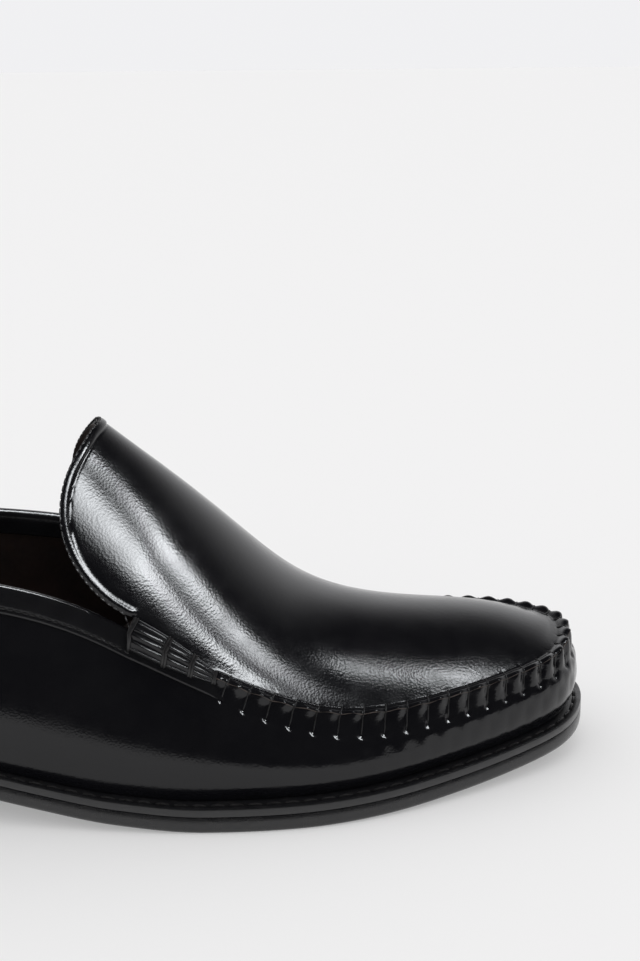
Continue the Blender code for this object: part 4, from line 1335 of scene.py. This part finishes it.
def make_shoe():
    """All the pieces of the shoe; gives those that each soft box lights."""
    upper = polished_leather("polished_black_leather", (0.0035, 0.0035, 0.0045),
                             (0.0050, 0.0050, 0.0060), (0.14, 0.20), 0.5)
    trim = polished_leather("trim_black_leather", (0.0040, 0.0040, 0.0048),
                            (0.0070, 0.0070, 0.0080), (0.18, 0.26), 0.6)
    brown = matte_leather("brown_lining_leather", (0.010, 0.0045, 0.0032),
                          (0.022, 0.010, 0.007), (0.55, 0.75))
    sock = matte_leather("brown_sock_leather", (0.034, 0.013, 0.008), (0.068, 0.027, 0.016),
                         (0.42, 0.6), 700.0)
    edge = inked_edge("inked_sole_edge", (0.0055, 0.0055, 0.0065), (0.020, 0.018, 0.017),
                      (0.22, 0.36))
    strip = inked_edge("inked_welt", (0.0060, 0.0060, 0.0070), (0.016, 0.015, 0.015),
                       (0.30, 0.46))
    thread = waxed_thread("waxed_black_thread", (0.006, 0.006, 0.007), (0.022, 0.021, 0.021))
    cut = matte_leather("cut_edge_leather", (0.040, 0.030, 0.025), (0.075, 0.058, 0.050),
                        (0.45, 0.6))
    sides = (("lateral", False), ("medial", True))
    vamp = make_vamp(upper)
    plug, cloth, stitch_line = make_plug(upper)
    make_lining(brown)
    threads = make_seam_threads(thread)
    make_raw_edge(cut)
    band = [make_collar(trim)]
    band += [make_facing("collar_facing_" + side, medial, trim) for side, medial in sides]
    rolls = [make_roll("corded_roll_" + side, medial, "side_roll_" + side, trim)
             for side, medial in sides]
    for side, medial in sides:
        make_wraps("roll_wraps_" + side, medial, thread)
    tongue_row = make_tongue_stitches(cloth, stitch_line, thread)
    make_collar_stitches(thread)
    make_welt(strip)
    make_welt_stitches(thread)
    make_outsole(edge)
    make_sock(sock)
    make_heel(edge, rubber("black_heel_rubber"))
    tongue = [plug, tongue_row] + rolls
    return {"tongue_box": tongue, "side_box": tongue, "streak_box": [plug],
            "seam_box": [vamp, threads], "foot_box": [vamp], "high_box": band}


# Studio
FLOOR_HALF = 25.0
FLOOR_COLOUR = (0.58, 0.577, 0.57, 1.0)
FLOOR_GLOW = 0.30
BACKDROP_COLOUR = (0.875, 0.875, 0.89, 1.0)
AMBIENT = 1.17
ROOM_DARK = 0.010
BACKDROP_TOP = (0.30, 0.80)
BACKDROP_SIDE = (-0.25, 0.45)

# Soft boxes: place, point aimed at, size, power and spread in degrees
BOX_COLOUR = (0.94, 0.97, 1.0)
BOXES = {
    "tongue_box": ((0.254, -0.182, 0.358), (-0.045, -0.03, 0.095), (0.15, 0.12), 0.080, 36.0),
    "side_box": ((0.089, -0.371, 0.357), (-0.07, -0.04, 0.085), (0.31, 0.15), 0.21, 40.0),
    "streak_box": ((0.527, 0.033, 0.911), (0.15, -0.04, 0.04), (0.13, 0.09), 0.009, 16.0),
    "seam_box": ((0.553, 0.052, 0.896), (0.13, -0.03, 0.05), (0.195, 0.12), 2.4, 180.0),
    "foot_box": ((0.71, 0.16, 0.78), (0.10, -0.04, 0.03), (0.25, 0.25), 4.0, 180.0),
    "high_box": ((-0.09, 0.31, 1.02), (-0.08, -0.03, 0.08), (0.9, 0.25), 20.0, 180.0),
}

# Camera: the photograph's view
CAMERA_AZIMUTH = 3.225
CAMERA_ELEVATION = 14.84
CAMERA_ROLL = -0.558
CAMERA_DISTANCE = 0.4735
CAMERA_TARGET = (0.202, 0.0, 0.040)
TARGET_PIXEL = (258.4, 626.1)
IMAGE_SIZE = (640, 961)
FOCAL_PIXELS = 1615.0
SENSOR = 36.0


def make_camera():
    """Camera of the photograph, aimed by where one point of the shoe is seen."""
    azimuth, elevation, roll = np.radians([CAMERA_AZIMUTH, CAMERA_ELEVATION, CAMERA_ROLL])
    ahead = np.array([math.sin(azimuth) * math.cos(elevation),
                      math.cos(azimuth) * math.cos(elevation), -math.sin(elevation)])
    right = unit(np.cross(ahead, [0.0, 0.0, 1.0]))
    up = np.cross(right, ahead)
    right, up = (right * math.cos(roll) + up * math.sin(roll),
                 up * math.cos(roll) - right * math.sin(roll))
    aside = (TARGET_PIXEL[0] - IMAGE_SIZE[0] / 2.0) / FOCAL_PIXELS * CAMERA_DISTANCE
    above = (IMAGE_SIZE[1] / 2.0 - TARGET_PIXEL[1]) / FOCAL_PIXELS * CAMERA_DISTANCE
    target = np.array(CAMERA_TARGET) - MIDDLE
    place = target - ahead * CAMERA_DISTANCE - right * aside - up * above
    data = bpy.data.cameras.new("camera")
    data.sensor_width = SENSOR
    data.lens = FOCAL_PIXELS / max(IMAGE_SIZE) * SENSOR
    data.clip_start = 0.01
    data.clip_end = 20.0
    camera = bpy.data.objects.new("camera", data)
    bpy.context.scene.collection.objects.link(camera)
    axes = np.stack([right, up, -ahead], 1)
    camera.matrix_world = Matrix.Translation(place) @ Matrix(axes.tolist()).to_4x4()
    bpy.context.scene.camera = camera


def make_floor():
    """Plain pale floor, as even as the backdrop."""
    half = FLOOR_HALF
    corners = [(-half, -half, 0), (half, -half, 0), (half, half, 0), (-half, half, 0)]
    mesh = bpy.data.meshes.new("floor")
    mesh.from_pydata(corners, [], [(0, 1, 2, 3)])
    paper = Nodes("floor_paper")
    paper.set(Base_Color=FLOOR_COLOUR, Roughness=0.9, Specular_IOR_Level=0.2,
              Emission_Color=(1.0, 1.0, 1.0, 1.0), Emission_Strength=FLOOR_GLOW)
    mesh.materials.append(paper.material)
    floor = bpy.data.objects.new("floor", mesh)
    bpy.context.scene.collection.objects.link(floor)


def make_lights(lit):
    """Soft boxes that are seen only in the gloss, and only in that of the pieces they light."""
    for name, (place, target, size, power, spread) in BOXES.items():
        data = bpy.data.lights.new(name, "AREA")
        data.shape = "RECTANGLE"
        data.size, data.size_y = size
        data.energy = power
        data.spread = math.radians(spread)
        data.color = BOX_COLOUR
        light = bpy.data.objects.new(name, data)
        light.location = place
        light.rotation_mode = "QUATERNION"
        light.rotation_quaternion = (Vector(target) - Vector(place)).to_track_quat("-Z", "Y")
        light.visible_diffuse = False
        light.visible_camera = False
        bpy.context.scene.collection.objects.link(light)
        group = bpy.data.collections.new(name + "_lit")
        for piece in lit[name]:
            group.objects.link(piece)
        light.light_linking.receiver_collection = group


def make_world():
    """Pale surroundings: even for the eye and the floor, a low bright backdrop in the gloss."""
    world = bpy.data.worlds.new("studio")
    world.use_nodes = True
    tree = world.node_tree
    new = tree.nodes.new
    link = tree.links.new

    def background(strength):
        node = new("ShaderNodeBackground")
        node.inputs["Color"].default_value = BACKDROP_COLOUR
        node.inputs["Strength"].default_value = strength
        return node

    def fade(source, start, end):
        node = new("ShaderNodeMapRange")
        node.interpolation_type = "SMOOTHSTEP"
        node.inputs["From Min"].default_value = start
        node.inputs["From Max"].default_value = end
        link(source, node.inputs["Value"])
        return node.outputs["Result"]

    def mixed(factor, first, second):
        node = new("ShaderNodeMixShader")
        for source, socket in zip((factor, first, second), node.inputs):
            link(source, socket)
        return node.outputs[0]

    axes = new("ShaderNodeSeparateXYZ")
    link(new("ShaderNodeTexCoord").outputs["Generated"], axes.inputs[0])
    both = new("ShaderNodeMath")
    both.operation = "MULTIPLY"
    link(fade(axes.outputs["Z"], BACKDROP_TOP[1], BACKDROP_TOP[0]), both.inputs[0])
    link(fade(axes.outputs["Y"], *BACKDROP_SIDE), both.inputs[1])
    strength = new("ShaderNodeMapRange")
    strength.inputs["To Min"].default_value = ROOM_DARK
    link(both.outputs[0], strength.inputs["Value"])
    mirrored = background(1.0)
    link(strength.outputs["Result"], mirrored.inputs["Strength"])
    path = new("ShaderNodeLightPath")
    shader = mixed(path.outputs["Is Glossy Ray"], background(AMBIENT).outputs[0],
                   mirrored.outputs[0])
    shader = mixed(path.outputs["Is Camera Ray"], shader, background(1.0).outputs[0])
    link(shader, tree.nodes["World Output"].inputs["Surface"])
    bpy.context.scene.world = world


lit_pieces = make_shoe()
make_floor()
make_world()
make_lights(lit_pieces)
make_camera()
bpy.context.scene.view_settings.view_transform = "Standard"
bpy.context.view_layer.update()
